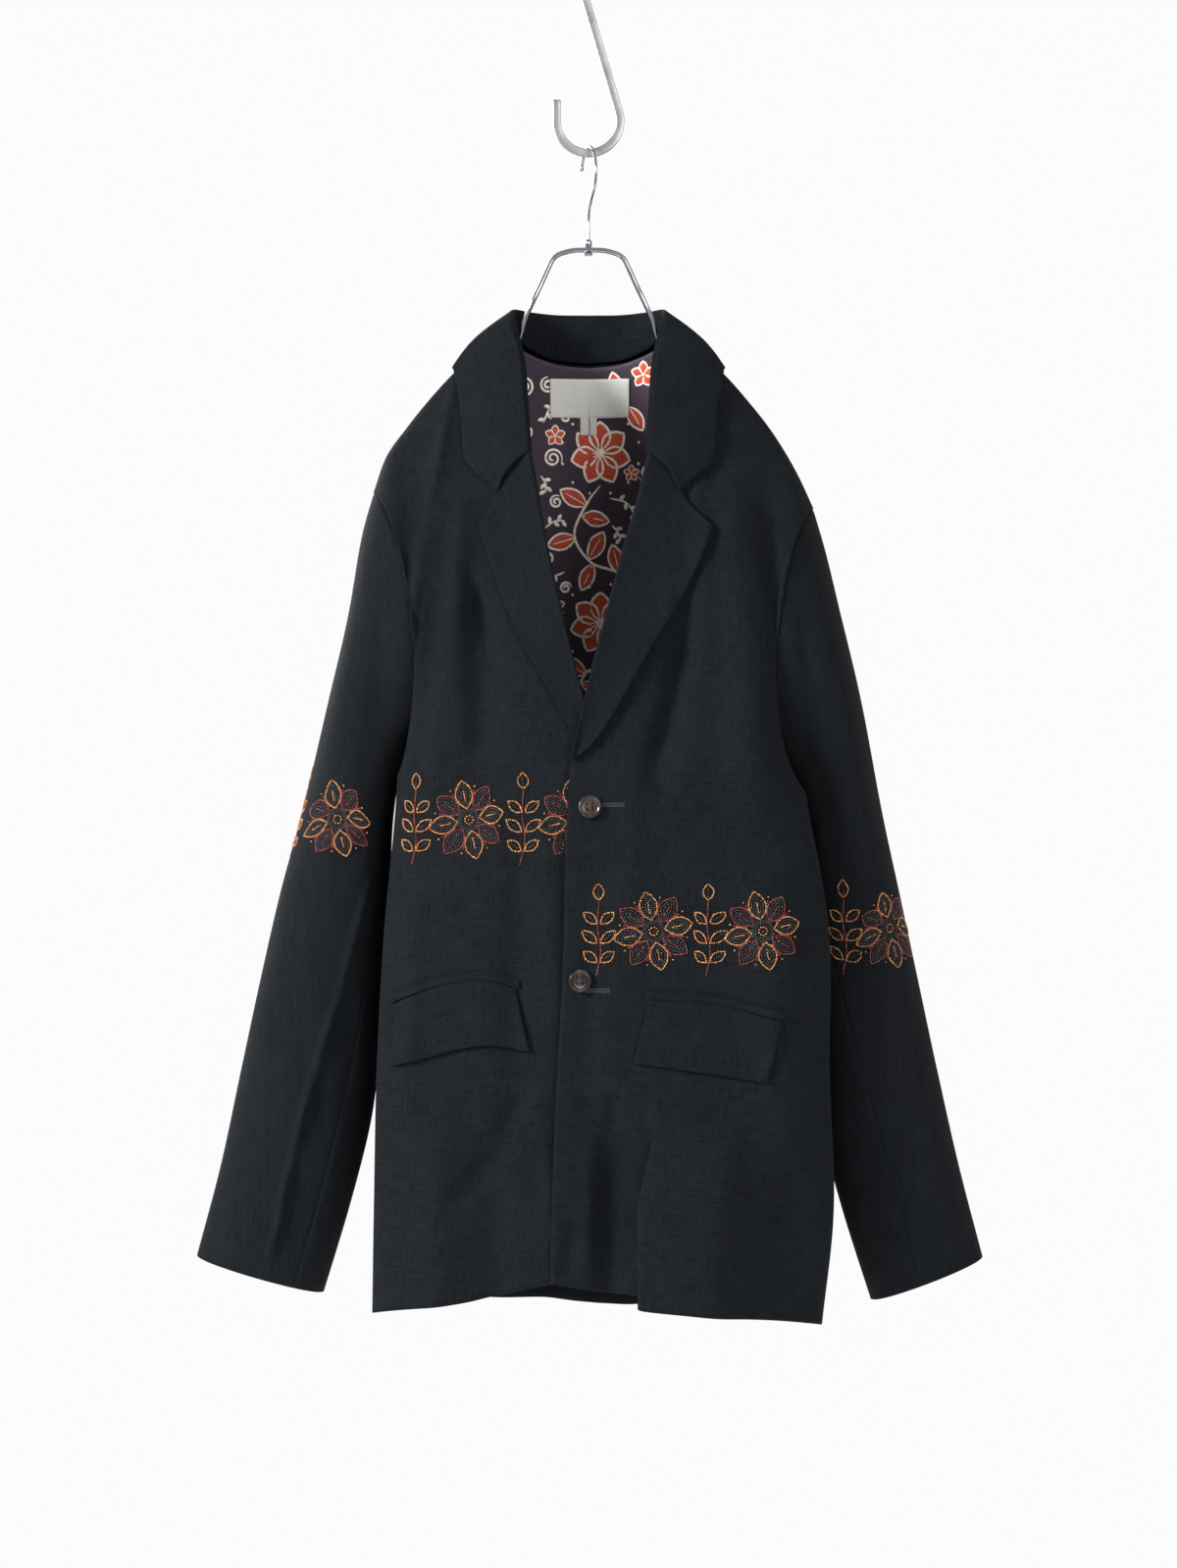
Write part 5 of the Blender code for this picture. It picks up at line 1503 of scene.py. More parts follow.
@dataclass(frozen=True)
class Lapels:
    """The lapels, laid over the fronts and turned over their edges at the roll lines."""

    top_share: float = 0.84
    low_share: float = 0.505
    lift: float = 2.4
    roll: float = 3.6
    edge_rise: float = 2.6
    tuck_share: float = 0.022
    tuck_reach: float = 0.6
    tuck_rows: int = 5
    rows: int = 90
    columns: int = 24
    turn_columns: int = 7
    turn_below: float = 2.4
    turn_reach: float = 1.9

    def build(self) -> None:
        """Makes both: height = lift + roll (1 - a)**2 + edge_rise a**2, and a half turn at the roll line."""
        share = np.linspace(0, 1, self.rows + 1)
        across = np.linspace(0, 1, self.columns + 1)
        for side in Side:
            panel = Panel(side, Face.FRONT)
            roll = panel.inner_edge(self.top_share + (self.low_share - self.top_share) * share)[:, None]
            edge = read(LAPELS[side], share)[:, None]
            x = roll[..., 0] + (edge[..., 0] - roll[..., 0]) * across
            z = roll[..., 2] + (edge[..., 1] - roll[..., 2]) * across
            steps = np.linspace(1, 0, self.tuck_rows + 1)[:-1]
            above = panel.inner_edge(self.top_share + self.tuck_share * steps)
            above = (above - roll[0])[:, None] * np.maximum(0.04, 1 - across / self.tuck_reach)[:, None]
            x = np.concatenate([x[0] + above[..., 0], x])
            z = np.concatenate([z[0] + above[..., 2], z])
            height = self.lift + self.roll * (1 - across) ** 2 + self.edge_rise * across**2 + 0 * x
            here, _, _, facing = panel.frame_at(*panel.locate(x, z))
            outer = here + height[..., None] * facing
            inner = outer - COLLAR_WALL * facing
            reach = (self.lift + self.roll + self.turn_below) / 2
            centre = (here + (self.lift + self.roll - reach) * facing)[:, :1]
            out = outer[:, :1] - outer[:, 1:2]
            out = unit(out - np.sum(out * facing[:, :1], axis=-1, keepdims=True) * facing[:, :1])
            turn = np.linspace(np.pi, 0, self.turn_columns + 1)[:-1][None, :, None]
            skins = []
            for skin, less in ((outer, 0.0), (inner, COLLAR_WALL)):
                over = (reach - less) * np.cos(turn) * facing[:, :1]
                aside = max(self.turn_reach - less, 0.3) * np.sin(turn) * out
                skins.append(np.concatenate([centre + over + aside, skin], axis=1))
            name = f"lapel_{side.word}"
            shell(f"{name}_cloth", skins[0], skins[1], Finish.CLOTH, "blazer_cloth", [name])


class CollarRow(NamedTuple):
    """One row of the collar's fall on the left half: its fold and its edge."""

    share: float
    fold_x: float
    fold_y: float
    fold_z: float
    edge_x: float
    edge_z: float


COLLAR = (
    CollarRow(0.00, 46.0, -45.0, -466, 70, -499),
    CollarRow(0.14, 49.0, -29.0, -430, 94, -477),
    CollarRow(0.32, 53.0, -10.0, -388, 100, -434),
    CollarRow(0.46, 60.5, 2.0, -359, 105, -403),
    CollarRow(0.60, 61.0, 16.0, -350, 101, -399),
    CollarRow(0.76, 46.0, 33.0, -350, 74, -402),
    CollarRow(0.88, 26.0, 42.0, -351, 40, -407),
    CollarRow(1.00, 0.0, 45.0, -351, 0, -409),
)

STAND_FOOT = (
    Point(0.30, 55.5, -7.0, -397),
    Point(0.46, 62.0, 8.0, -372),
    Point(0.60, 60.0, 20.0, -368),
    Point(0.76, 46.0, 35.5, -378),
    Point(0.88, 26.0, 43.5, -385),
    Point(1.00, 0.0, 46.5, -387),
)


@dataclass(frozen=True)
class Collar:
    """The collar's fall, turned over at its fold, and the stand inside the neck."""

    corner_share: float = 0.14
    shoulder_share: float = 0.53
    shoulder_spread: float = 0.07
    lift: float = 3.2
    shoulder_lift: float = 2.5
    bulge: float = 4.0
    bulge_up: float = 0.6
    columns: int = 22
    steps: int = 66
    corner_steps: int = 14
    turn_columns: int = 8
    turn_inset: float = 0.4
    stand_from: float = 0.30
    stand_inset: float = 0.8
    stand_drop: float = 0.2
    stand_back: float = 10.0
    stand_rows: int = 10

    def inward(self, fold: Array) -> Array:
        """The level way from the collar's fold into the neck."""
        return unit(fold * np.array([-1, -1, 0]) + np.array([0, self.stand_back, 0]))

    def half(self, side: Side) -> tuple[Array, Array]:
        """Half of the fall: straight from fold to edge, plus a bulge of sin(pi a) outward.

        Args:
            side: the wearer's side.

        Returns:
            The fall's inner points, from its front end to the middle of the back, and the fold's points.
        """
        short = np.linspace(0, self.corner_share, self.corner_steps)
        share = np.concatenate([short, np.linspace(self.corner_share, 1, self.steps)[1:]])
        table = read(COLLAR, share)
        front_end, corner = (np.array(row[1:]) for row in COLLAR[:2])
        table[: len(short)] = front_end + (corner - front_end) * (short / self.corner_share)[:, None]
        fold = table[:, :3] * np.array([side, 1, 1])
        over = self.shoulder_lift * np.exp(-(((share - self.shoulder_share) / self.shoulder_spread) ** 2))
        edges = [Panel(side, face).lay(table[:, 3] * side, table[:, 4], self.lift + over) for face in Face]
        weight = smoothstep((share - self.shoulder_share) / 0.02 + 0.5)[:, None]
        edge = edges[0] * (1 - weight) + edges[1] * weight
        across = np.linspace(0, 1, self.columns + 1)[None, :, None]
        outward = unit(edge * np.array([1, 1, 0]))[:, None] + self.bulge_up * UP
        bulge = self.bulge * np.sin(np.pi * across) * outward
        return fold[:, None] * (1 - across) + edge[:, None] * across + bulge, fold

    def fall(self) -> None:
        """Makes the fall with its turn: a half circle from the fall's face over to the stand's."""
        right, left = (self.half(side) for side in Side)
        grid = np.concatenate([right[0][:-1], left[0][::-1]])
        fold = np.concatenate([right[1][:-1], left[1][::-1]])[:, None]
        facing = grid_normals(grid, (0, 1, 0))
        inward = self.inward(fold)
        first = facing[:, :1]
        start = np.arctan2(first[..., 2:], -np.sum(first * inward, axis=-1, keepdims=True))
        turn = np.linspace(np.pi, 0, self.turn_columns + 1)[:-1][None, :, None]
        turn = start + (np.pi - start) * turn / np.pi
        centre = fold + self.turn_inset * inward
        ring = -inward * np.cos(turn) + UP * np.sin(turn)
        turned = centre + (COLLAR_WALL + self.turn_inset) * ring
        outer = np.concatenate([turned, grid + COLLAR_WALL * facing], axis=1)
        inner = np.concatenate([centre + self.turn_inset * ring, grid], axis=1)
        shell("collar_fall", outer, inner, Finish.CLOTH, "blazer_cloth", ["collar"])

    def stand(self) -> None:
        """Makes the stand: straight from the neck seam up to just under the fold."""
        share = np.linspace(self.stand_from, 1, self.steps)
        up = np.linspace(0, 1, self.stand_rows + 1)[None, :, None]
        halves = []
        for side in Side:
            foot = read(STAND_FOOT, share) * np.array([side, 1, 1])
            fold = read([row[:4] for row in COLLAR], share) * np.array([side, 1, 1])
            head = fold + self.stand_inset * self.inward(fold) - self.stand_drop * UP
            halves.append(foot[:, None] * (1 - up) + head[:, None] * up)
        grid = np.concatenate([halves[0][:-1], halves[1][::-1]])
        facing = grid_normals(grid, (0, -1, 0))
        far = grid + COLLAR_WALL * facing
        shell("stand_cloth", grid, far, Finish.CLOTH, "blazer_cloth", ["collar_stand"])

    def build(self) -> None:
        """Makes both pieces."""
        self.fall()
        self.stand()


class FlapPoint(NamedTuple):
    """The top and bottom of a pocket flap, from its outer end to the one near the front edge."""

    share: float
    top_x: float
    top_z: float
    bottom_x: float
    bottom_z: float


FLAPS = {
    Side.RIGHT: (
        FlapPoint(0.00, -151, -898, -151.5, -945),
        FlapPoint(0.28, -126, -887, -126, -938),
        FlapPoint(0.55, -98, -880, -99, -931),
        FlapPoint(0.78, -77, -879, -76, -928),
        FlapPoint(1.00, -56, -885, -45, -933),
    ),
    Side.LEFT: (
        FlapPoint(0.00, 148, -910, 137, -957),
        FlapPoint(0.50, 97, -897, 91, -949),
        FlapPoint(1.00, 47, -893, 35, -941),
    ),
}


@dataclass(frozen=True)
class Pockets:
    """A flap and the narrow welt above it on each front."""

    lift: float = 0.8
    swell: float = 1.6
    swell_span: float = 1.6
    columns: int = 60
    rows: int = 22
    ripple: float = 0.5
    welt_tall: float = 6.0
    welt_gap: float = 0.6
    welt_overhang: float = 3.0
    welt_lift: float = 0.8
    welt_rows: int = 5
    outermost_x: float = -151.5

    def flap(self, side: Side, table: Array) -> None:
        """Makes a flap: its swell is a sine down it, with a ripple along its lower edge.

        Args:
            side: the wearer's side.
            table: top and bottom ends of its columns.
        """
        down = np.linspace(0, 1, self.rows + 1)[:, None]
        x = table[:, 0] * (1 - down) + table[:, 2] * down
        z = table[:, 1] * (1 - down) + table[:, 3] * down
        height = self.lift + self.swell * np.sin(np.pi * down / self.swell_span)
        height = height + self.ripple * down**2 * np.sin(x / 13.0 + 1.0)
        here, _, _, facing = Panel(side, Face.FRONT).frame_at(*Panel(side, Face.FRONT).locate(x, z))
        inner = here + height[..., None] * facing
        name = f"pocket_flap_{side.word}"
        shell(f"{name}_cloth", inner + FLAP_WALL * facing, inner, Finish.CLOTH, "blazer_cloth", [name])

    def welt(self, side: Side, table: Array) -> None:
        """Makes the welt above the flap, a little longer than it and rolled at its upper edge.

        Args:
            side: the wearer's side.
            table: top and bottom ends of the flap's columns.
        """
        middle = (table[0, 0] + table[-1, 0]) / 2
        longer = 1 + 2 * self.welt_overhang / abs(table[0, 0] - table[-1, 0])
        up = np.linspace(1, 0, self.welt_rows + 1)[:, None]
        x = middle + (table[:, 0] - middle) * longer + 0 * up
        x = np.maximum(x, self.outermost_x)
        z = table[:, 1] + self.welt_gap + self.welt_tall * up
        height = self.welt_lift + 0.5 * np.sin(np.pi * up) + 0 * x
        here, _, _, facing = Panel(side, Face.FRONT).frame_at(*Panel(side, Face.FRONT).locate(x, z))
        inner = here + height[..., None] * facing
        name = f"pocket_welt_{side.word}"
        shell(f"{name}_cloth", inner + WELT_WALL * facing, inner, Finish.CLOTH, "blazer_cloth", [name])

    def build(self) -> None:
        """Makes both pockets."""
        for side in Side:
            table = read(FLAPS[side], np.linspace(0, 1, self.columns + 1))
            self.flap(side, table)
            self.welt(side, table)


@dataclass(frozen=True)
class BackLining:
    """The printed lining, set in a little from the back's inner face."""

    from_share: float = 0.5
    low_share: float = 0.022
    top_share: float = 0.998
    side_share: float = 0.87
    slope_from: float = 0.55
    slope_over: float = 0.25
    off: float = 2.3
    rows: int = 120
    columns: int = 44
    ease: float = 0.35

    def depth(self, x: Array, z: Array) -> Array:
        """How far the lining's hidden face lies inside the back's outer one: low waves where it is slack."""
        wave = np.sin(x / 17.0 + 0.6 * np.sin(z / 60.0)) * np.sin(z / 41.0 + 0.5)
        return PANEL_WALL + self.off + self.ease * (1 + wave)

    def limits(self, u: Array) -> tuple[float, Array]:
        """The lining's lower and upper edges, as shares of the back's height."""
        climb = smoothstep((u - self.slope_from) / self.slope_over)
        return self.low_share, self.side_share + (self.top_share - self.side_share) * climb

    def face(self) -> tuple[Array, Array]:
        """The lining's hidden face and its normals."""
        u = np.linspace(self.from_share, 1, self.columns + 1)[None, :]
        low, top = self.limits(u)
        v = low + (top - low) * np.linspace(0, 1, self.rows + 1)[:, None]
        right, left = (Panel(side, Face.BACK).at(u, v) for side in Side)
        grid = np.concatenate([right[:, :-1], (right[:, -1:] + left[:, -1:]) / 2, left[:, -2::-1]], axis=1)
        facing = grid_normals(grid, (0, 1, 0))
        return grid - self.depth(grid[..., 0], grid[..., 2])[..., None] * facing, facing

    def build(self) -> None:
        """Makes the lining."""
        near, facing = self.face()
        far = near - LINING_WALL * facing
        shell("lining_cloth", near, far, Finish.LINING, "printed_lining", ["back_lining"])


@dataclass(frozen=True)
class Label:
    """A bare woven label on the lining."""

    name: str
    node: str
    left: float
    right: float
    low: float
    high: float
    off: float = 1.1
    rows: int = 14
    columns: int = 40

    def build(self) -> None:
        """Makes the label: a wall that follows the back at the lining's depth."""
        depth = PANEL_WALL + BackLining.off + LINING_WALL + self.off
        x = np.linspace(self.left, self.right, self.columns + 1)[None, :]
        z = np.linspace(self.high, self.low, self.rows + 1)[:, None]
        x, z = np.broadcast_arrays(x, z)
        skins = []
        for more in (0.0, LABEL_WALL):
            halves = [Panel(side, Face.BACK).lay(x, z, np.full(x.shape, -depth - more)) for side in Side]
            skins.append(np.where((x > 0)[..., None], halves[1], halves[0]))
        shell(self.name, skins[0], skins[1], Finish.LABEL, "woven_label", [self.node])


@dataclass(frozen=True)
class Button:
    """A four-hole horn button on the left front, with its thread."""

    name: str
    node: str
    x: float
    z: float
    across: float = 17.8
    lift: float = 0.6
    hole: float = 1.0
    hole_place: float = 2.7
    sides: int = 56
    pin_sides: int = 20
    drill_reach: tuple = (-1.0, 4.5)
    thread: float = 0.32
    thread_from: float = 2.2
    thread_apart: float = 1.3
    thread_arch: float = 0.55
    profile: tuple = (
        (0.0, 0.0), (0.78, 0.0), (0.9, 0.25), (0.97, 0.9), (1.0, 1.7), (1.0, 2.4), (0.98, 3.0), (0.94, 3.4),
        (0.88, 3.58), (0.82, 3.5), (0.76, 3.15), (0.7, 2.8), (0.6, 2.55), (0.45, 2.42), (0.0, 2.4),
    )

    def build(self) -> None:
        """Makes the button, drills its four holes and ties it with two crossed pairs of threads."""
        panel = Panel(Side.LEFT, Face.FRONT)
        here, _, _, facing = panel.frame_at(*panel.locate(np.array([self.x]), np.array([self.z])))
        axis = facing[0]
        spot = here[0] + self.lift * axis
        radius = self.across / 2
        profile = [(share * radius, tall) for share, tall in self.profile]
        points, faces = turned_rings(profile, spot, axis, self.sides)
        made = make_piece(self.name, points, faces, Finish.HORN, "dark_horn", [self.node])
        across = unit(np.cross(UP, axis))
        upward = np.cross(axis, across)
        corner = np.radians(45 + 90 * np.arange(4))[:, None]
        holes = spot + self.hole_place * (np.cos(corner) * across + np.sin(corner) * upward)
        pins = []
        for number, hole in enumerate(holes):
            low, high = self.drill_reach
            drill = [(0, low), (self.hole, low), (self.hole, high), (0, high)]
            pin_points, pin_faces = turned_rings(drill, hole, axis, self.pin_sides)
            mesh = bpy.data.meshes.new(f"pin_{number}")
            pin_faces = [face for group in pin_faces for face in group.tolist()]
            mesh.from_pydata((pin_points * MM).tolist(), [], pin_faces)
            pin = bpy.data.objects.new(mesh.name, mesh)
            bpy.context.scene.collection.objects.link(pin)
            cut = made.modifiers.new(pin.name, "BOOLEAN")
            cut.operation = "DIFFERENCE"
            cut.object = pin
            pins.append(pin)
        drilled = bpy.data.meshes.new_from_object(made.evaluated_get(bpy.context.evaluated_depsgraph_get()))
        made.modifiers.clear()
        made.data = drilled
        for pin in pins:
            bpy.data.objects.remove(pin)
        top = holes + self.thread_from * axis
        run = np.arange(-1, 2)[:, None, None] * self.thread * self.thread_apart
        starts = (top[[0, 1]][None] + run * np.stack([across, upward])[None]).reshape(-1, 3)
        ends = (top[[2, 3]][None] + run * np.stack([across, upward])[None]).reshape(-1, 3)
        up = np.tile(axis, (len(starts), 1))
        points, faces = strands(starts, ends, up, self.thread, self.thread_arch, rings=9, sides=8)
        make_piece(f"{self.name}_thread", points, faces, Finish.BLACK_THREAD)


@dataclass(frozen=True)
class Hanger:
    """The chromed wire hanger: shoulder bar, ferrule, nut and swivelling hook."""

    bar_radius: float = 2.0
    bar_top: float = -302.2
    below_seam: float = 10.3
    arm_from: float = 0.18
    arm_to: float = 0.84
    arm_points: int = 9
    rings: int = 81
    sides: int = 28
    gap: float = 0.3
    neck: tuple = (
        (0, 0, -302.2), (16, 0, -303.4), (27, 0, -308), (32, 0, -317), (37, 0, -328), (45.5, 0, -346),
        (50.5, 3, -357), (54, 6, -369), (59, 9, -380), (67, 11, -385.5),
    )
    ferrule_profile: tuple = (
        (0, 0), (2.55, 0), (2.75, 0.2), (2.75, 4.0), (2.65, 4.4), (2.25, 5.0), (2.06, 5.2), (0, 5.2),
    )
    ferrule_sides: int = 48
    nut_profile: tuple = ((0, 0), (2.8, 0), (3.2, 0.3), (3.2, 2.1), (2.8, 2.4), (0, 2.4))
    wire: float = 1.2
    wire_sides: int = 24
    wire_rings: int = 120
    arc_points: int = 19
    ball_steps: tuple = (0.0, 0.05, 0.15, 0.3, 0.5, 0.75, 1.0, 1.25, 1.5, 1.7, 1.78)
    ball_tip: float = 0.3
    wire_ball: float = 1.9
    wire_radius: float = 21.2
    wire_turn: float = 16.0
    tip_angle: float = 166.0
    low_angle: float = -50.0
    tail: tuple = ((6.6, 6.5), (1.8, 12.5), (0.0, 20.0))

    def arm(self, side: Side) -> Array:
        """Half of the bar: down from the ferrule, then along under the shoulder seam."""
        neck = np.array(self.neck) * np.array([side, 1, 1])
        share = np.linspace(1 - self.arm_from, 1 - self.arm_to, self.arm_points)
        return evened(np.concatenate([neck, read(SHOULDERS[side], share) - self.below_seam * UP]), self.rings)

    def bar(self) -> None:
        """Makes the bar with round ends."""
        path = np.concatenate([self.arm(Side.RIGHT)[::-1], self.arm(Side.LEFT)[1:]])
        near = np.array([0.0, 0.15, 0.5, 1.0]) * self.bar_radius
        swell = np.sqrt(self.bar_radius**2 - (self.bar_radius - near) ** 2)
        way = unit(path[1] - path[0]), unit(path[-2] - path[-1])
        first = path[0] + near[:, None] * way[0]
        last = path[-1] + near[:, None] * way[1]
        path = np.concatenate([first, path[1:-1], last[::-1]])
        radii = np.full(len(path), self.bar_radius)
        radii[:4] = np.maximum(swell, 0.4)
        radii[-4:] = radii[:4][::-1]
        section = circle(self.sides)
        bar("hanger_wire_bar", path, radii, section, (0, 1, 0), Finish.CHROME, "chrome", ["hanger_bar"])

    def ferrule(self) -> float:
        """Makes the ferrule above the bar and the nut under it, and returns the ferrule's top."""
        low = self.bar_top + self.bar_radius + self.gap
        points, faces = turned_rings(self.ferrule_profile, (0, 0, low), UP, self.ferrule_sides)
        make_piece("ferrule_cap", points, faces, Finish.CHROME, "chrome", ["hanger_ferrule"])
        top = self.bar_top - self.bar_radius - self.gap
        points, faces = turned_rings(self.nut_profile, (0, 0, top - self.nut_profile[-1][1]), UP, 6)
        made = make_piece("nut_hexagon", points, faces, Finish.CHROME, "chrome", ["hanger_nut"])
        made.data.shade_flat()
        return low + self.ferrule_profile[-1][1]

    def hook(self, foot: float) -> None:
        """Makes the hook: a ball end, an arc over the S-hook's bend, an easy bend back and a stem."""
        turn = np.radians(self.wire_turn)
        forward = np.array([np.sin(turn), -np.cos(turn), 0.0])
        centre = SHook.low_z - SHook.inner + self.wire + self.gap - self.wire_radius
        angle = np.radians(np.linspace(self.tip_angle, self.low_angle, self.arc_points))
        arc = [(self.wire_radius * np.cos(a), centre + self.wire_radius * np.sin(a)) for a in angle]
        tail = [(out, arc[-1][1] - below) for out, below in self.tail] + [(0.0, foot + self.gap)]
        route = np.array([out * forward + z * UP for out, z in arc + tail])
        length = np.concatenate([[0], np.cumsum(np.linalg.norm(np.diff(route, axis=0), axis=1))])
        near = np.array(self.ball_steps) * self.wire_ball
        swell = np.sqrt(np.maximum(0, self.wire_ball**2 - (near - self.wire_ball) ** 2))
        places = np.concatenate([near, np.linspace(near[-1] + 0.8, length[-1], self.wire_rings)])
        radii = np.full(len(places), self.wire)
        radii[: len(near)] = np.maximum(swell, np.where(near > self.wire_ball, self.wire, self.ball_tip))
        level = np.cross(forward, UP)
        path = spline(length, route, places)
        section = circle(self.wire_sides)
        bar("hook_wire", path, radii, section, level, Finish.CHROME, "chrome", ["hanger_hook"])

    def build(self) -> None:
        """Makes the hanger's four pieces."""
        self.bar()
        self.hook(self.ferrule())


@dataclass(frozen=True)
class SHook:
    """The flat satin S-hook: one bend, and the same turned by half a turn about its middle."""

    inner: float = 22.0
    wide: float = 6.5
    deep: float = 4.0
    low_z: float = -200.0
    tip: float = 17.0
    lean: float = 17.0
    bevel: float = 0.8

    def build(self) -> None:
        """Makes the hook from a rounded section carried along the S."""
        radius = self.inner + self.wide / 2
        turn = np.radians(np.linspace(180, 360 + self.lean, 80))
        bend = np.array([0.0, self.low_z]) + radius * np.stack([np.cos(turn), np.sin(turn)], axis=-1)
        rise = np.linspace(self.tip, 0, 8)[:-1]
        near = np.array([0.0, 0.25, 0.8])
        tip = np.stack([np.full(len(rise), -radius), self.low_z + rise], axis=-1)
        end = np.stack([np.full(3, -radius), self.low_z + self.tip - near], axis=-1)
        tip = np.concatenate([end, tip[1:]])
        lower = np.concatenate([tip, bend])
        middle = np.array([0.0, (self.low_z - self.inner) / 2])
        flat = np.concatenate([lower, middle[None], 2 * middle - lower[::-1]])
        path = np.stack([flat[:, 0], np.zeros(len(flat)), flat[:, 1]], axis=-1)
        radii = np.ones(len(path))
        radii[:3] = radii[-3:][::-1] = 0.86, 0.95, 1.0
        quarter = np.radians(np.linspace(0, 90, 5))
        section = []
        for k, (x, y) in enumerate(((1, 1), (-1, 1), (-1, -1), (1, -1))):
            a = quarter + k * np.pi / 2
            centre = np.array([x * (self.wide / 2 - self.bevel), y * (self.deep / 2 - self.bevel)])
            section.append(centre + self.bevel * np.stack([np.cos(a), np.sin(a)], axis=-1))
        section = np.concatenate(section)
        bar("s_hook_bar", path, radii, section, (0, 1, 0), Finish.STEEL, "satin_steel", ["s_hook"])


def pointing(degrees: float) -> Array:
    """The flat unit vector at an angle."""
    turn = np.radians(degrees)
    return np.array([np.cos(turn), np.sin(turn)])


def lens(foot: Sequence, angle: float, long: float, half: float, steps: int = 14) -> Array:
    """The closed outline of a petal or leaf: its half width is half sin(pi t) to the power 0.8, t along it.

    Args:
        foot: where it starts.
        angle: the way that it points, in degrees.
        long: its length.
        half: half its greatest width.
        steps: steps along each side.

    Returns:
        Its points, without the first one again.
    """
    t = np.linspace(0, 1, steps)
    wide = half * np.sin(np.pi * t) ** 0.8
    turn = np.radians(angle)
    along, side = np.array([np.cos(turn), np.sin(turn)]), np.array([-np.sin(turn), np.cos(turn)])
    one = np.asarray(foot, float) + long * t[:, None] * along
    return np.concatenate([one + wide[:, None] * side, (one - wide[:, None] * side)[-2:0:-1]])


def closed(outline: Array) -> Array:
    """An outline with its first point again at its end."""
    return np.concatenate([outline, outline[:1]])


def spiral(centre: Sequence, radius: float, turns: float, start: float, steps: int = 40) -> Array:
    """A curl: its radius shrinks evenly to a sixth as it turns."""
    t = np.linspace(0, 1, steps)
    turn = np.radians(start) + 2 * np.pi * turns * t
    way = np.stack([np.cos(turn), np.sin(turn)], axis=-1)
    return np.asarray(centre) + (radius * (1 - 0.83 * t))[:, None] * way


def spaced(path: Array, gap: float) -> Array:
    """Places along a path about a gap apart."""
    length = np.concatenate([[0], np.cumsum(np.linalg.norm(np.diff(path, axis=0), axis=1))])
    at = np.linspace(0, length[-1], max(2, int(length[-1] / gap) + 1))
    return np.stack([np.interp(at, length, path[:, k]) for k in range(path.shape[1])], axis=-1)


class Shape(NamedTuple):
    """A thin closed shape of a flat drawing: its places, their heights and its faces."""

    flat: Array
    height: Array
    faces: list


def ribbon(path: Array, half: float, tall: float = 0.24, sink: float = 0.12) -> Shape:
    """A line of a drawing, as a low bar that narrows at its ends."""
    way = unit(np.gradient(path, axis=0))
    side = np.stack([-way[:, 1], way[:, 0]], axis=-1)
    t = np.linspace(0, 1, len(path))
    wide = half * (0.35 + 0.65 * np.minimum(1, 8 * np.minimum(t, 1 - t)))
    flat = path[:, None] + (wide[:, None] * np.array([-1.0, -0.6, 0.6, 1.0]))[..., None] * side[:, None]
    height = np.broadcast_to(np.array([-sink, tall, tall, -sink]), flat.shape[:2])
    index = np.arange(flat.shape[0] * 4).reshape(-1, 4)
    over = np.roll(index, -1, axis=1)
    quads = np.stack([index[:-1], index[1:], over[1:], over[:-1]], axis=-1).reshape(-1, 4)
    faces = np.concatenate([quads, index[:1], index[-1:, ::-1]])
    return Shape(flat.reshape(-1, 2), height.reshape(-1), [faces])


def filled(outline: Array, tall: float = 0.12, sink: float = 0.12, rim: float = 0.9) -> Shape:
    """A filled shape of a drawing: a flat top, a short slope all round and a flat underside."""
    count = len(outline)
    middle = outline.mean(axis=0)
    flat = np.concatenate([outline, middle + rim * (outline - middle), middle[None], middle[None]])
    height = np.concatenate([np.full(count, -sink), np.full(count + 1, tall), [-sink]])
    here = np.arange(count)
    then = np.roll(here, -1)
    quads = np.stack([here, then, then + count, here + count], axis=-1)
    top = np.stack([here + count, then + count, np.full(count, 2 * count)], axis=-1)
    low = np.stack([then, here, np.full(count, 2 * count + 1)], axis=-1)
    return Shape(flat, height, [quads, np.concatenate([top, low])])


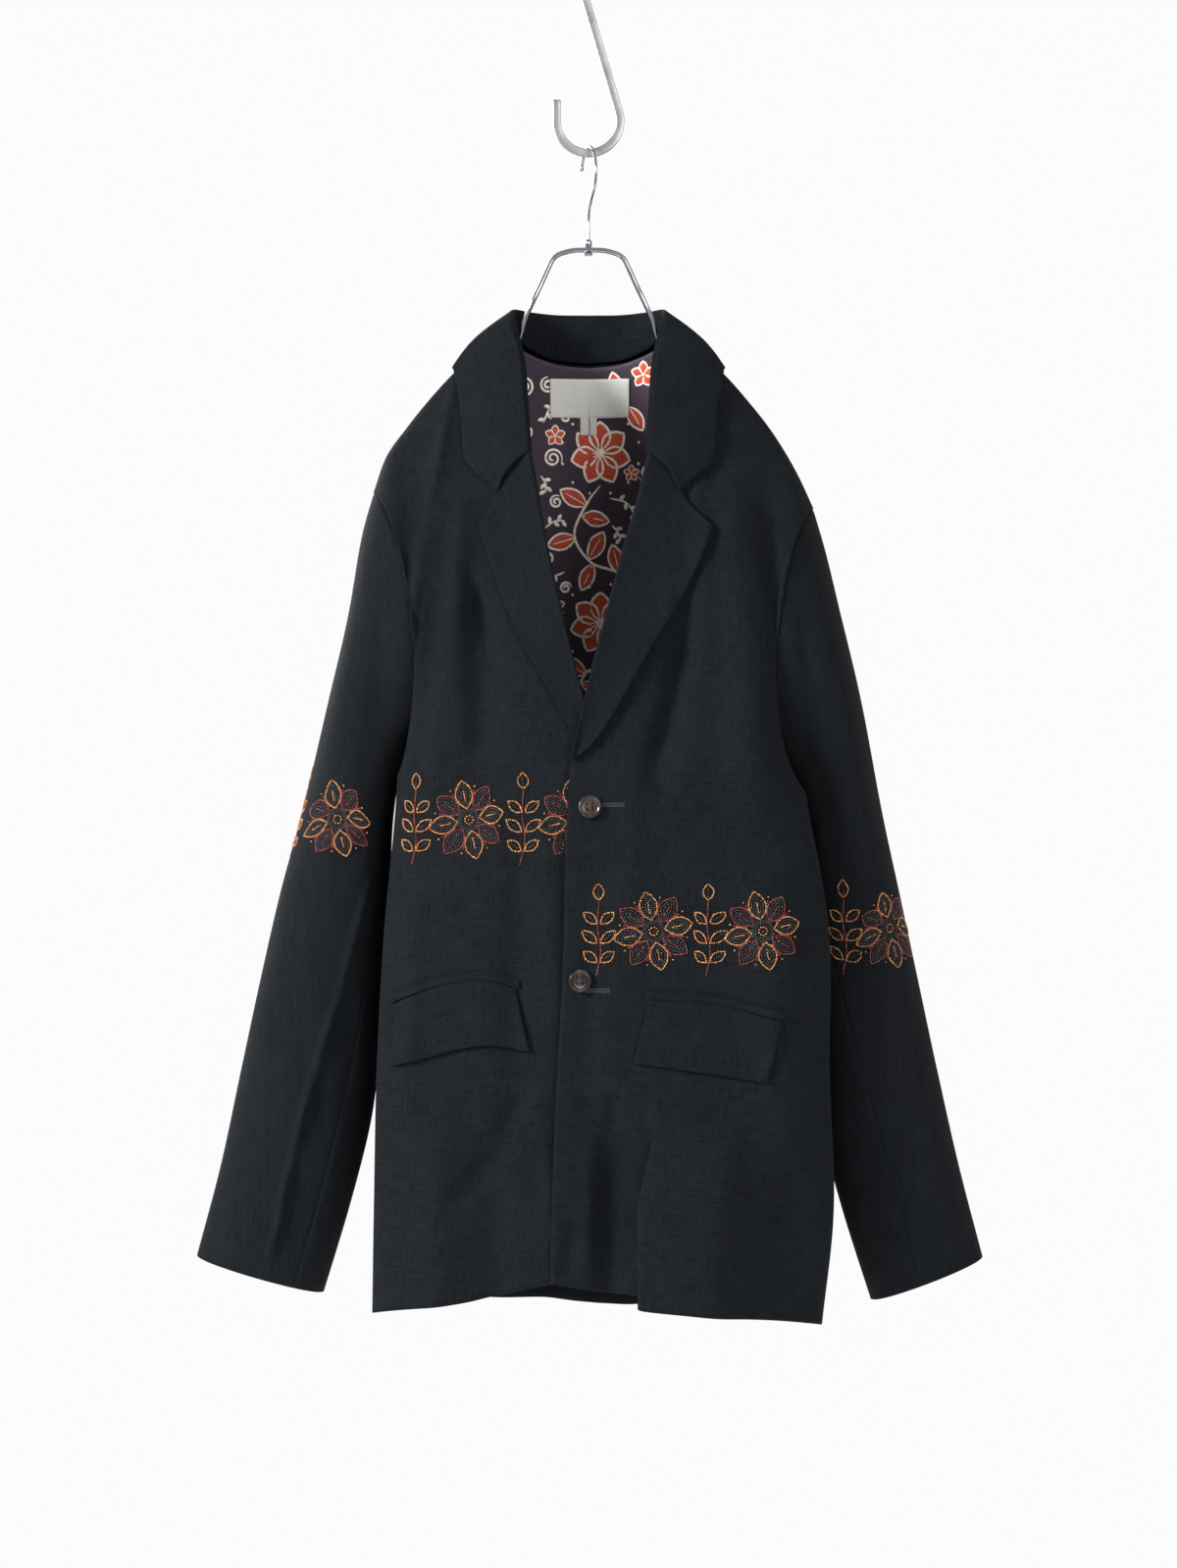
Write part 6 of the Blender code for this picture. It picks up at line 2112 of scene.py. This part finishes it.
@dataclass(frozen=True)
class LiningPrint:
    """The lining's printed flowers, leaves and curls: one repeat, set out in a half drop over it."""

    lining: BackLining
    wide: float = 104.0
    tall: float = 138.0
    shift: float = 10.0
    start: float = -487.0
    line: float = 1.25
    inset: float = 0.02
    stem: tuple = ((0, 4), (-14, -14), (-22, -36), (-8, -58), (14, -66), (34, -78))
    leaves: tuple = (
        (-12, -12, 150, 25, 6.5), (-16, -20, -12, 24, 6.0), (-21, -38, 196, 24, 6.5), (-10, -56, 60, 26, 6.5),
        (-6, -59, 245, 24, 6.0), (16, -67, 105, 24, 6.0), (24, -71, -60, 22, 5.5),
    )
    curls: tuple = (
        (40, 14, 8.5, 2.0, 200), (-40, 26, 8.0, 1.9, -30), (-37, -9, 5.5, 1.6, 60), (42, -22, 6.5, 1.7, 120),
        (-29, 59, 5.0, 1.6, 10), (-44, -54, 6.5, 1.7, 90),
    )
    twigs: tuple = (
        ((-50, 12), (-46, 6), (-46, -2)), ((8, -6), (22, -10), (30, -22)),
        ((-46, -30), (-39, -25), (-30, -24)), ((46, 36), (50, 46), (44, 58)),
        ((10, -28), (14, -33), (17, -40)), ((-30, -66), (-42, -72), (-48, -84)),
    )
    big_flower: tuple = (0, 30, 27.0, 7)
    small_flowers: tuple = ((36, -46, 11.0, 5), (-38, 44, 9.0, 5), (26, 14, 7.0, 5))
    petal_half: float = 0.36
    petal_apart: float = 0.14
    heart_share: float = 0.15
    heart_tall: float = 0.3
    full_line_radius: float = 16.0
    leaf_line: float = 0.85
    vein_share: float = 0.8
    vein_half: float = 0.6
    twig_line: float = 0.7
    twig_leaves: tuple = ((4, 1), (7, -1), (10, 1), (13, -1))
    twig_lean: float = 55.0
    twig_leaf_long: float = 6.5
    twig_leaf_half: float = 1.7
    curl_line: float = 0.9
    mark_tall: float = 0.22
    dots: int = 12
    dots_radius: float = 33.0
    dot_radius: float = 1.2

    def flower(self, x: float, y: float, radius: float, petals: int) -> tuple[list, list]:
        """A flower: brick petals with cream edges about a ring of dots."""
        cream, brick = [], []
        for k in range(petals):
            outline = lens((x, y), 90 + 360 * k / petals, radius, radius * self.petal_half)
            outline += self.petal_apart * (outline.mean(axis=0) - outline)
            brick.append(filled(outline))
            cream.append(ribbon(closed(outline), self.line * min(1.0, radius / self.full_line_radius)))
        cream.append(filled(np.array([x, y]) + radius * self.heart_share * circle(12), self.heart_tall))
        return cream, brick

    def repeat(self) -> tuple[list, list]:
        """One repeat of the print, as its cream shapes and its brick ones."""
        cream, brick = self.flower(*self.big_flower)
        for place in self.small_flowers:
            more = self.flower(*place)
            cream += more[0]
            brick += more[1]
        cream.append(ribbon(evened(np.array(self.stem, float), 44), self.line))
        for x, y, angle, long, half in self.leaves:
            outline = lens((x, y), angle, long, half)
            brick.append(filled(outline))
            cream.append(ribbon(closed(outline), self.line * self.leaf_line))
            foot = np.array((x, y))
            tip = foot + self.vein_share * (outline[len(outline) // 2] - foot)
            cream.append(ribbon(np.linspace(foot, tip, 8), self.vein_half))
        for twig in self.twigs:
            path = evened(np.array(twig, float), 16)
            cream.append(ribbon(path, self.line * self.twig_line))
            for at, side in self.twig_leaves:
                way = np.degrees(np.arctan2(*(path[at + 1] - path[at])[::-1]))
                lean = way + self.twig_lean * side
                leaf = lens(path[at], lean, self.twig_leaf_long, self.twig_leaf_half, 6)
                cream.append(filled(leaf, self.mark_tall))
        for x, y, radius, turns, start in self.curls:
            cream.append(ribbon(spiral((x, y), radius, turns, start), self.line * self.curl_line))
        for k in range(self.dots):
            place = np.array(self.big_flower[:2]) + self.dots_radius * pointing(360 / self.dots * (k + 0.5))
            cream.append(filled(place + self.dot_radius * circle(8), self.mark_tall))
        return cream, brick

    def laid(self, shapes: list) -> tuple[Array, list]:
        """Repeats the shapes over the lining and keeps those that lie on it whole.

        Args:
            shapes: the shapes of one repeat.

        Returns:
            Their points on the lining and the arrays of their faces.
        """
        cells = [
            (self.wide * column + self.shift, self.start - self.tall * (row + 0.5 * (column % 2)))
            for column in range(-2, 3)
            for row in range(-1, 6)
        ]
        sizes = np.array([len(shape.flat) for shape in shapes])
        flat = np.concatenate([np.concatenate([shape.flat for shape in shapes]) + cell for cell in cells])
        tall = np.tile(np.concatenate([shape.height for shape in shapes]), len(cells))
        near = (np.abs(flat[:, 0]) < 175) & (flat[:, 1] > -1140) & (flat[:, 1] < -350)
        points = np.zeros((len(flat), 3))
        inside = np.zeros(len(flat), bool)
        for side in Side:
            mine = near & ((flat[:, 0] > 0) == (side > 0))
            panel = Panel(side, Face.BACK)
            x, z = flat[mine].T
            u, v = panel.locate(x, z)
            here, _, _, facing = panel.frame_at(u, v)
            depth = self.lining.depth(x, z) + LINING_WALL + tall[mine]
            points[mine] = here - depth[:, None] * facing
            low, top = self.lining.limits(u)
            inside[mine] = (u > self.lining.from_share + self.inset) & (v > low + 0.004) & (v < top - 0.004)
        sizes = np.tile(sizes, len(cells))
        starts = np.concatenate([[0], np.cumsum(sizes)[:-1]])
        kept = np.logical_and.reduceat(inside, starts)
        faces = [
            group + starts[number]
            for number in np.flatnonzero(kept)
            for group in shapes[number % len(shapes)].faces
        ]
        used = np.repeat(kept, sizes)
        fresh = np.cumsum(used) - 1
        corners = {size: [fresh[group] for group in faces if group.shape[1] == size] for size in (3, 4)}
        return points[used], [np.concatenate(groups) for groups in corners.values() if groups]

    def build(self) -> list:
        """Makes the cream and the brick parts of the print."""
        made = []
        inks = (("print_cream", Finish.CREAM), ("print_brick", Finish.BRICK))
        for shapes, (name, finish) in zip(self.repeat(), inks):
            made.append(make_piece(name, *self.laid(shapes), finish))
        return made


class Beads(NamedTuple):
    """Beads of a flat drawing and the threads between them."""

    amber: list
    red: list
    black: list
    lines: list


class BeadLeaf(NamedTuple):
    """A ring of beads round a leaf: where it starts, its length, half width, outline points and bead gap."""

    start: float
    long: float
    half: float
    points: int
    gap: float

    def beads(self, angle: float) -> Array:
        """The ring's beads, where the leaf lies at an angle from the middle."""
        outline = lens(self.start * pointing(angle), angle, self.long, self.half, self.points)
        return spaced(closed(outline), self.gap)[:-1]


@dataclass(frozen=True)
class BeadFlower:
    """Petals edged in amber or dark-red beads, black ones inside them, and dark-red rays between them."""

    petals: int = 8
    turn: float = 12.0
    edge: BeadLeaf = BeadLeaf(9.0, 21.5, 6.8, 30, 1.45)
    outer: BeadLeaf = BeadLeaf(11.0, 17.0, 4.6, 24, 1.5)
    inner: BeadLeaf = BeadLeaf(13.0, 12.5, 2.4, 24, 1.5)
    vein: tuple = (15.0, 22.0)
    ray: tuple = (13.0, 23.0)
    tip: float = 26.5
    gap: float = 1.5
    ring_radius: float = 5.6
    ring_beads: int = 16
    heart_radius: float = 3.2
    heart_beads: int = 9
    threads: int = 40
    thread_from: float = 6.4
    thread_to: float = 8.2
    thread_longer: float = 1.2

    def drawn(self) -> Beads:
        """The flower's beads and threads."""
        beads = Beads([], [], [], [])
        step = 360.0 / self.petals
        for k in range(self.petals):
            angle = step * k + self.turn
            edge = beads.red if k % 2 else beads.amber
            edge.append(self.edge.beads(angle))
            beads.black.append(self.outer.beads(angle))
            beads.black.append(self.inner.beads(angle))
            edge.append(spaced(np.outer(self.vein, pointing(angle)), self.gap))
            way = pointing(angle + step / 2)
            beads.red.append(spaced(np.outer(self.ray, way), self.gap))
            beads.amber.append(self.tip * way[None])
        beads.black.append(self.ring_radius * circle(self.ring_beads))
        beads.amber.append(self.heart_radius * circle(self.heart_beads))
        beads.red.append(np.zeros((1, 2)))
        for k in range(self.threads):
            way = pointing(360.0 * (k + 0.5) / self.threads)
            far = self.thread_to + self.thread_longer * (k % 3)
            beads.lines.append((self.thread_from * way, far * way))
        return beads


@dataclass(frozen=True)
class BeadSprig:
    """An upright sprig: a dark-red stem, pairs of leaves edged in amber with black veins, and a bud."""

    stem: tuple = ((-1.5, -34.0), (1.5, -16.0), (-1.0, 4.0), (0.0, 22.0))
    stem_points: int = 40
    leaves: tuple = ((-24.0, 13.0), (-9.0, 14.5), (6.0, 13.0))
    lean: float = 52.0
    foot: float = 1.6
    half: float = 3.6
    points: int = 20
    vein_inset: float = 0.18
    vein_gap: float = 1.6
    gap: float = 1.5
    bud: BeadLeaf = BeadLeaf(24.0, 12.0, 4.2, 20, 1.5)
    bud_vein: tuple = ((0.0, 26.5), (0.0, 33.0))

    def drawn(self) -> Beads:
        """The sprig's beads."""
        beads = Beads([], [], [], [])
        stem = evened(np.array(self.stem), self.stem_points)
        beads.red.append(spaced(stem, self.gap))
        for height, long in self.leaves:
            for side in (-1, 1):
                foot = np.array([self.foot * side, height])
                outline = lens(foot, 90 - self.lean * side, long, self.half, self.points)
                beads.amber.append(spaced(closed(outline), self.gap)[:-1])
                tip = outline[len(outline) // 2]
                inset = self.vein_inset * (tip - foot)
                beads.black.append(spaced(np.array([foot + inset, tip - inset]), self.vein_gap)[1:])
        beads.amber.append(self.bud.beads(90))
        beads.black.append(spaced(np.array(self.bud_vein), self.gap))
        return beads


class Place(NamedTuple):
    """Where a bead motif is set on a piece."""

    piece: str
    surface: Surface
    kind: str
    x: float
    z: float


@dataclass(frozen=True)
class BeadBand:
    """The bead band round the body's fronts and the sleeves: flowers and sprigs by turns."""

    radius: float = 0.72
    size_range: tuple = (0.9, 1.08)
    bead_profile: tuple = ((0, -0.5), (0.95, -0.1), (0.74, 0.6), (0, 0.92))
    bead_sides: int = 6
    bead_lift: float = 0.3
    scatter: float = 0.12
    thread_radius: float = 0.3
    thread_arch: float = 0.35
    thread_lift: float = 0.1
    seed: int = 7
    right_z: float = -754.6
    left_z: float = -840.0
    hidden_x: float = -15.0
    right_front: tuple = (("sprig", -134.0), ("flower", -92.0), ("sprig", -50.0), ("flower", -8.0))
    left_front: tuple = (("sprig", 8.0), ("flower", 50.0), ("sprig", 92.0), ("flower", 134.0))
    right_sleeve: tuple = (("flower", -196.0), ("sprig", -228.0))
    left_sleeve: tuple = (("sprig", 200.0), ("flower", 236.0))

    def places(self) -> list[Place]:
        """Every motif's place."""
        rows = (
            ("front_right", Panel(Side.RIGHT, Face.FRONT), self.right_front, self.right_z),
            ("front_left", Panel(Side.LEFT, Face.FRONT), self.left_front, self.left_z),
            ("upper_sleeve_right", SleeveTube(Side.RIGHT), self.right_sleeve, self.right_z),
            ("upper_sleeve_left", SleeveTube(Side.LEFT), self.left_sleeve, self.left_z),
        )
        return [Place(piece, surface, kind, x, z) for piece, surface, row, z in rows for kind, x in row]

    def build(self) -> dict:
        """Makes the beads and threads of each piece, and returns them by the piece's name."""
        drawings = {"flower": BeadFlower().drawn(), "sprig": BeadSprig().drawn()}
        template, faces = turned_rings(self.bead_profile, (0, 0, 0), UP, self.bead_sides)
        chance = np.random.default_rng(self.seed)
        finishes = {"amber": Finish.AMBER_BEADS, "red": Finish.RED_BEADS, "black": Finish.BLACK_BEADS}
        heaps: dict = {}
        for place in self.places():
            drawing = drawings[place.kind]
            for colour in finishes:
                flat = np.concatenate(getattr(drawing, colour))
                flat = flat + chance.normal(0, self.scatter, flat.shape)
                lift = np.full(len(flat), self.bead_lift)
                points, normals = place.surface.spread(place.x, place.z, flat, lift)
                heaps.setdefault((place.piece, colour), []).append((points, normals))
            if drawing.lines:
                ends = np.array(drawing.lines)
                lift = np.full(len(ends), self.thread_lift)
                skins = [place.surface.spread(place.x, place.z, ends[:, k], lift) for k in (0, 1)]
                heaps.setdefault((place.piece, "thread"), []).append((skins[0][0], skins[1][0], skins[0][1]))
        made: dict = {}
        for (piece, colour), parts in heaps.items():
            arrays = [np.concatenate(group) for group in zip(*parts)]
            if piece == "front_right":
                seen = arrays[0][:, 0] < self.hidden_x
                arrays = [group[seen] for group in arrays]
            name = f"{piece}_{colour}"
            if colour == "thread":
                points, groups = strands(*arrays, self.thread_radius, self.thread_arch)
                done = make_piece(name, points, groups, Finish.BLACK_THREAD)
            else:
                sizes = self.radius * chance.uniform(*self.size_range, len(arrays[0]))
                points, groups = copies(template, faces, arrays[0], arrays[1], sizes)
                tint = np.repeat(chance.uniform(0, 1, len(sizes)), len(template))
                done = make_piece(name, points, groups, finishes[colour], tint=tint)
            made.setdefault(piece, []).append(done)
        return made


@dataclass(frozen=True)
class Buttonhole:
    """A worked buttonhole in the left front: two rows of satin stitches and a fan at its end."""

    name: str
    x: float
    z: float
    long: float = 18.0
    reach: float = 1.7
    pitch: float = 0.5
    thread: float = 0.24
    fan: int = 13

    def build(self) -> bpy.types.Object:
        """Makes it."""
        at = np.arange(0, self.long, self.pitch) - self.long / 2
        starts, ends = [], []
        for side in (-1, 1):
            starts.append(np.stack([at, np.full(len(at), 0.15 * side)], axis=-1))
            ends.append(np.stack([at, np.full(len(at), self.reach * side)], axis=-1))
        turn = np.radians(np.linspace(90, 270, self.fan))
        way = np.stack([np.cos(turn), np.sin(turn)], axis=-1)
        starts.append(way * 0.5 - [self.long / 2, 0])
        ends.append(way * (self.reach + 0.3) - [self.long / 2, 0])
        panel = Panel(Side.LEFT, Face.FRONT)
        skins = []
        for part in (starts, ends):
            flat = np.concatenate(part)
            skins.append(panel.spread(self.x, self.z, flat, np.full(len(flat), 0.08)))
        points, faces = strands(skins[0][0], skins[1][0], skins[0][1], self.thread, 0.45)
        return make_piece(self.name, points, faces, Finish.BLACK_THREAD)


class Lamp(NamedTuple):
    """A square soft light: its place, what it is turned to, its size and its power."""

    name: str
    place: tuple
    aim: tuple
    size: float
    power: float


@dataclass(frozen=True)
class Studio:
    """The camera, soft lights, a pale floor and a pale world."""

    camera_place: tuple = (0.0, -2.947, -0.727)
    lens: float = 85.07
    sensor: float = 36.0
    world: tuple = (1.0, 1.0, 1.0)
    world_strength: float = 0.6
    seen_strength: float = 0.97
    floor_z: float = -1.62
    floor_half: float = 1.2
    floor_colour: tuple = (0.9, 0.9, 0.9, 1.0)
    lamps: tuple = (
        Lamp("key", (-2.5, -1.7, 0.3), (0.0, 0.0, -0.75), 0.8, 185.0),
        Lamp("fill", (1.5, -3.0, 0.1), (0.0, 0.0, -0.7), 1.6, 55.0),
        Lamp("rim", (-1.2, 2.2, 0.4), (0.0, 0.0, -0.7), 1.4, 60.0),
    )

    def light(self, lamp: Lamp) -> None:
        """Makes a square soft light at its place, turned to what it lights."""
        light = bpy.data.lights.new(lamp.name, "AREA")
        light.size = lamp.size
        light.energy = lamp.power
        made = bpy.data.objects.new(lamp.name, light)
        bpy.context.scene.collection.objects.link(made)
        made.location = lamp.place
        made.rotation_euler = (Vector(lamp.aim) - Vector(lamp.place)).to_track_quat("-Z", "Y").to_euler()

    def build(self) -> None:
        """Sets all of it up."""
        scene = bpy.context.scene
        camera = bpy.data.cameras.new("camera")
        camera.lens = self.lens
        camera.sensor_width = self.sensor
        camera.sensor_fit = "AUTO"
        camera.clip_end = 50.0
        holder = bpy.data.objects.new("camera", camera)
        holder.location = self.camera_place
        holder.rotation_euler = (np.pi / 2, 0.0, 0.0)
        scene.collection.objects.link(holder)
        scene.camera = holder
        world = bpy.data.worlds.new("pale")
        world.use_nodes = True
        nodes = world.node_tree.nodes
        background = next(node for node in nodes if node.type == "BACKGROUND")
        background.inputs["Color"].default_value = (*self.world, 1.0)
        seen = nodes.new("ShaderNodeMapRange")
        seen.inputs["To Min"].default_value = self.world_strength
        seen.inputs["To Max"].default_value = self.seen_strength
        rays = nodes.new("ShaderNodeLightPath").outputs["Is Camera Ray"]
        world.node_tree.links.new(rays, seen.inputs["Value"])
        world.node_tree.links.new(seen.outputs["Result"], background.inputs["Strength"])
        scene.world = world
        scene.view_settings.view_transform = "Standard"
        mesh = bpy.data.meshes.new("floor")
        half = self.floor_half
        corners = [(-half, -half, 0), (half, -half, 0), (half, half, 0), (-half, half, 0)]
        mesh.from_pydata(corners, [], [(0, 1, 2, 3)])
        floor = bpy.data.objects.new("floor", mesh)
        floor.location = (0.0, 0.0, self.floor_z)
        scene.collection.objects.link(floor)
        pale = bpy.data.materials.new("pale_floor")
        pale.use_nodes = True
        shader = next(node for node in pale.node_tree.nodes if node.type == "BSDF_PRINCIPLED")
        shader.inputs["Base Color"].default_value = self.floor_colour
        shader.inputs["Roughness"].default_value = 0.9
        mesh.materials.append(pale)
        for lamp in self.lamps:
            self.light(lamp)


class Cut(NamedTuple):
    """A piece's flat size in metres and square metres, how it is held and what it hangs from or lies on."""

    width: float
    length: float
    area: float
    held: str
    rests_on: str


def main() -> None:
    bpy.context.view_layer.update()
    lining = BackLining()
    assemblies = (
        BodyPanels(),
        Sleeves(),
        Lapels(),
        Collar(),
        Pockets(),
        lining,
        Label("label_weave", "label", -32.0, 34.0, -428.0, -398.0),
        Label("size_tab_weave", "size_tab", -7.0, 7.0, -442.0, -428.6, rows=8, columns=10),
        Button("button_upper_horn", "button_upper", 1.0, -744.5),
        Button("button_lower_horn", "button_lower", -7.0, -878.0),
        Hanger(),
        SHook(),
    )
    for assembly in assemblies:
        assembly.build()
    trimmings = {f"{piece}_cloth": made for piece, made in BeadBand().build().items()}
    trimmings["lining_cloth"] = LiningPrint(lining).build()
    for hole in (Buttonhole("buttonhole_upper", 19.0, -743.0), Buttonhole("buttonhole_lower", 8.0, -885.5)):
        trimmings["front_left_cloth"].append(hole.build())
    Studio().build()


if __name__ == "__main__":
    logging.basicConfig(level=logging.INFO, format="%(message)s")
    main()
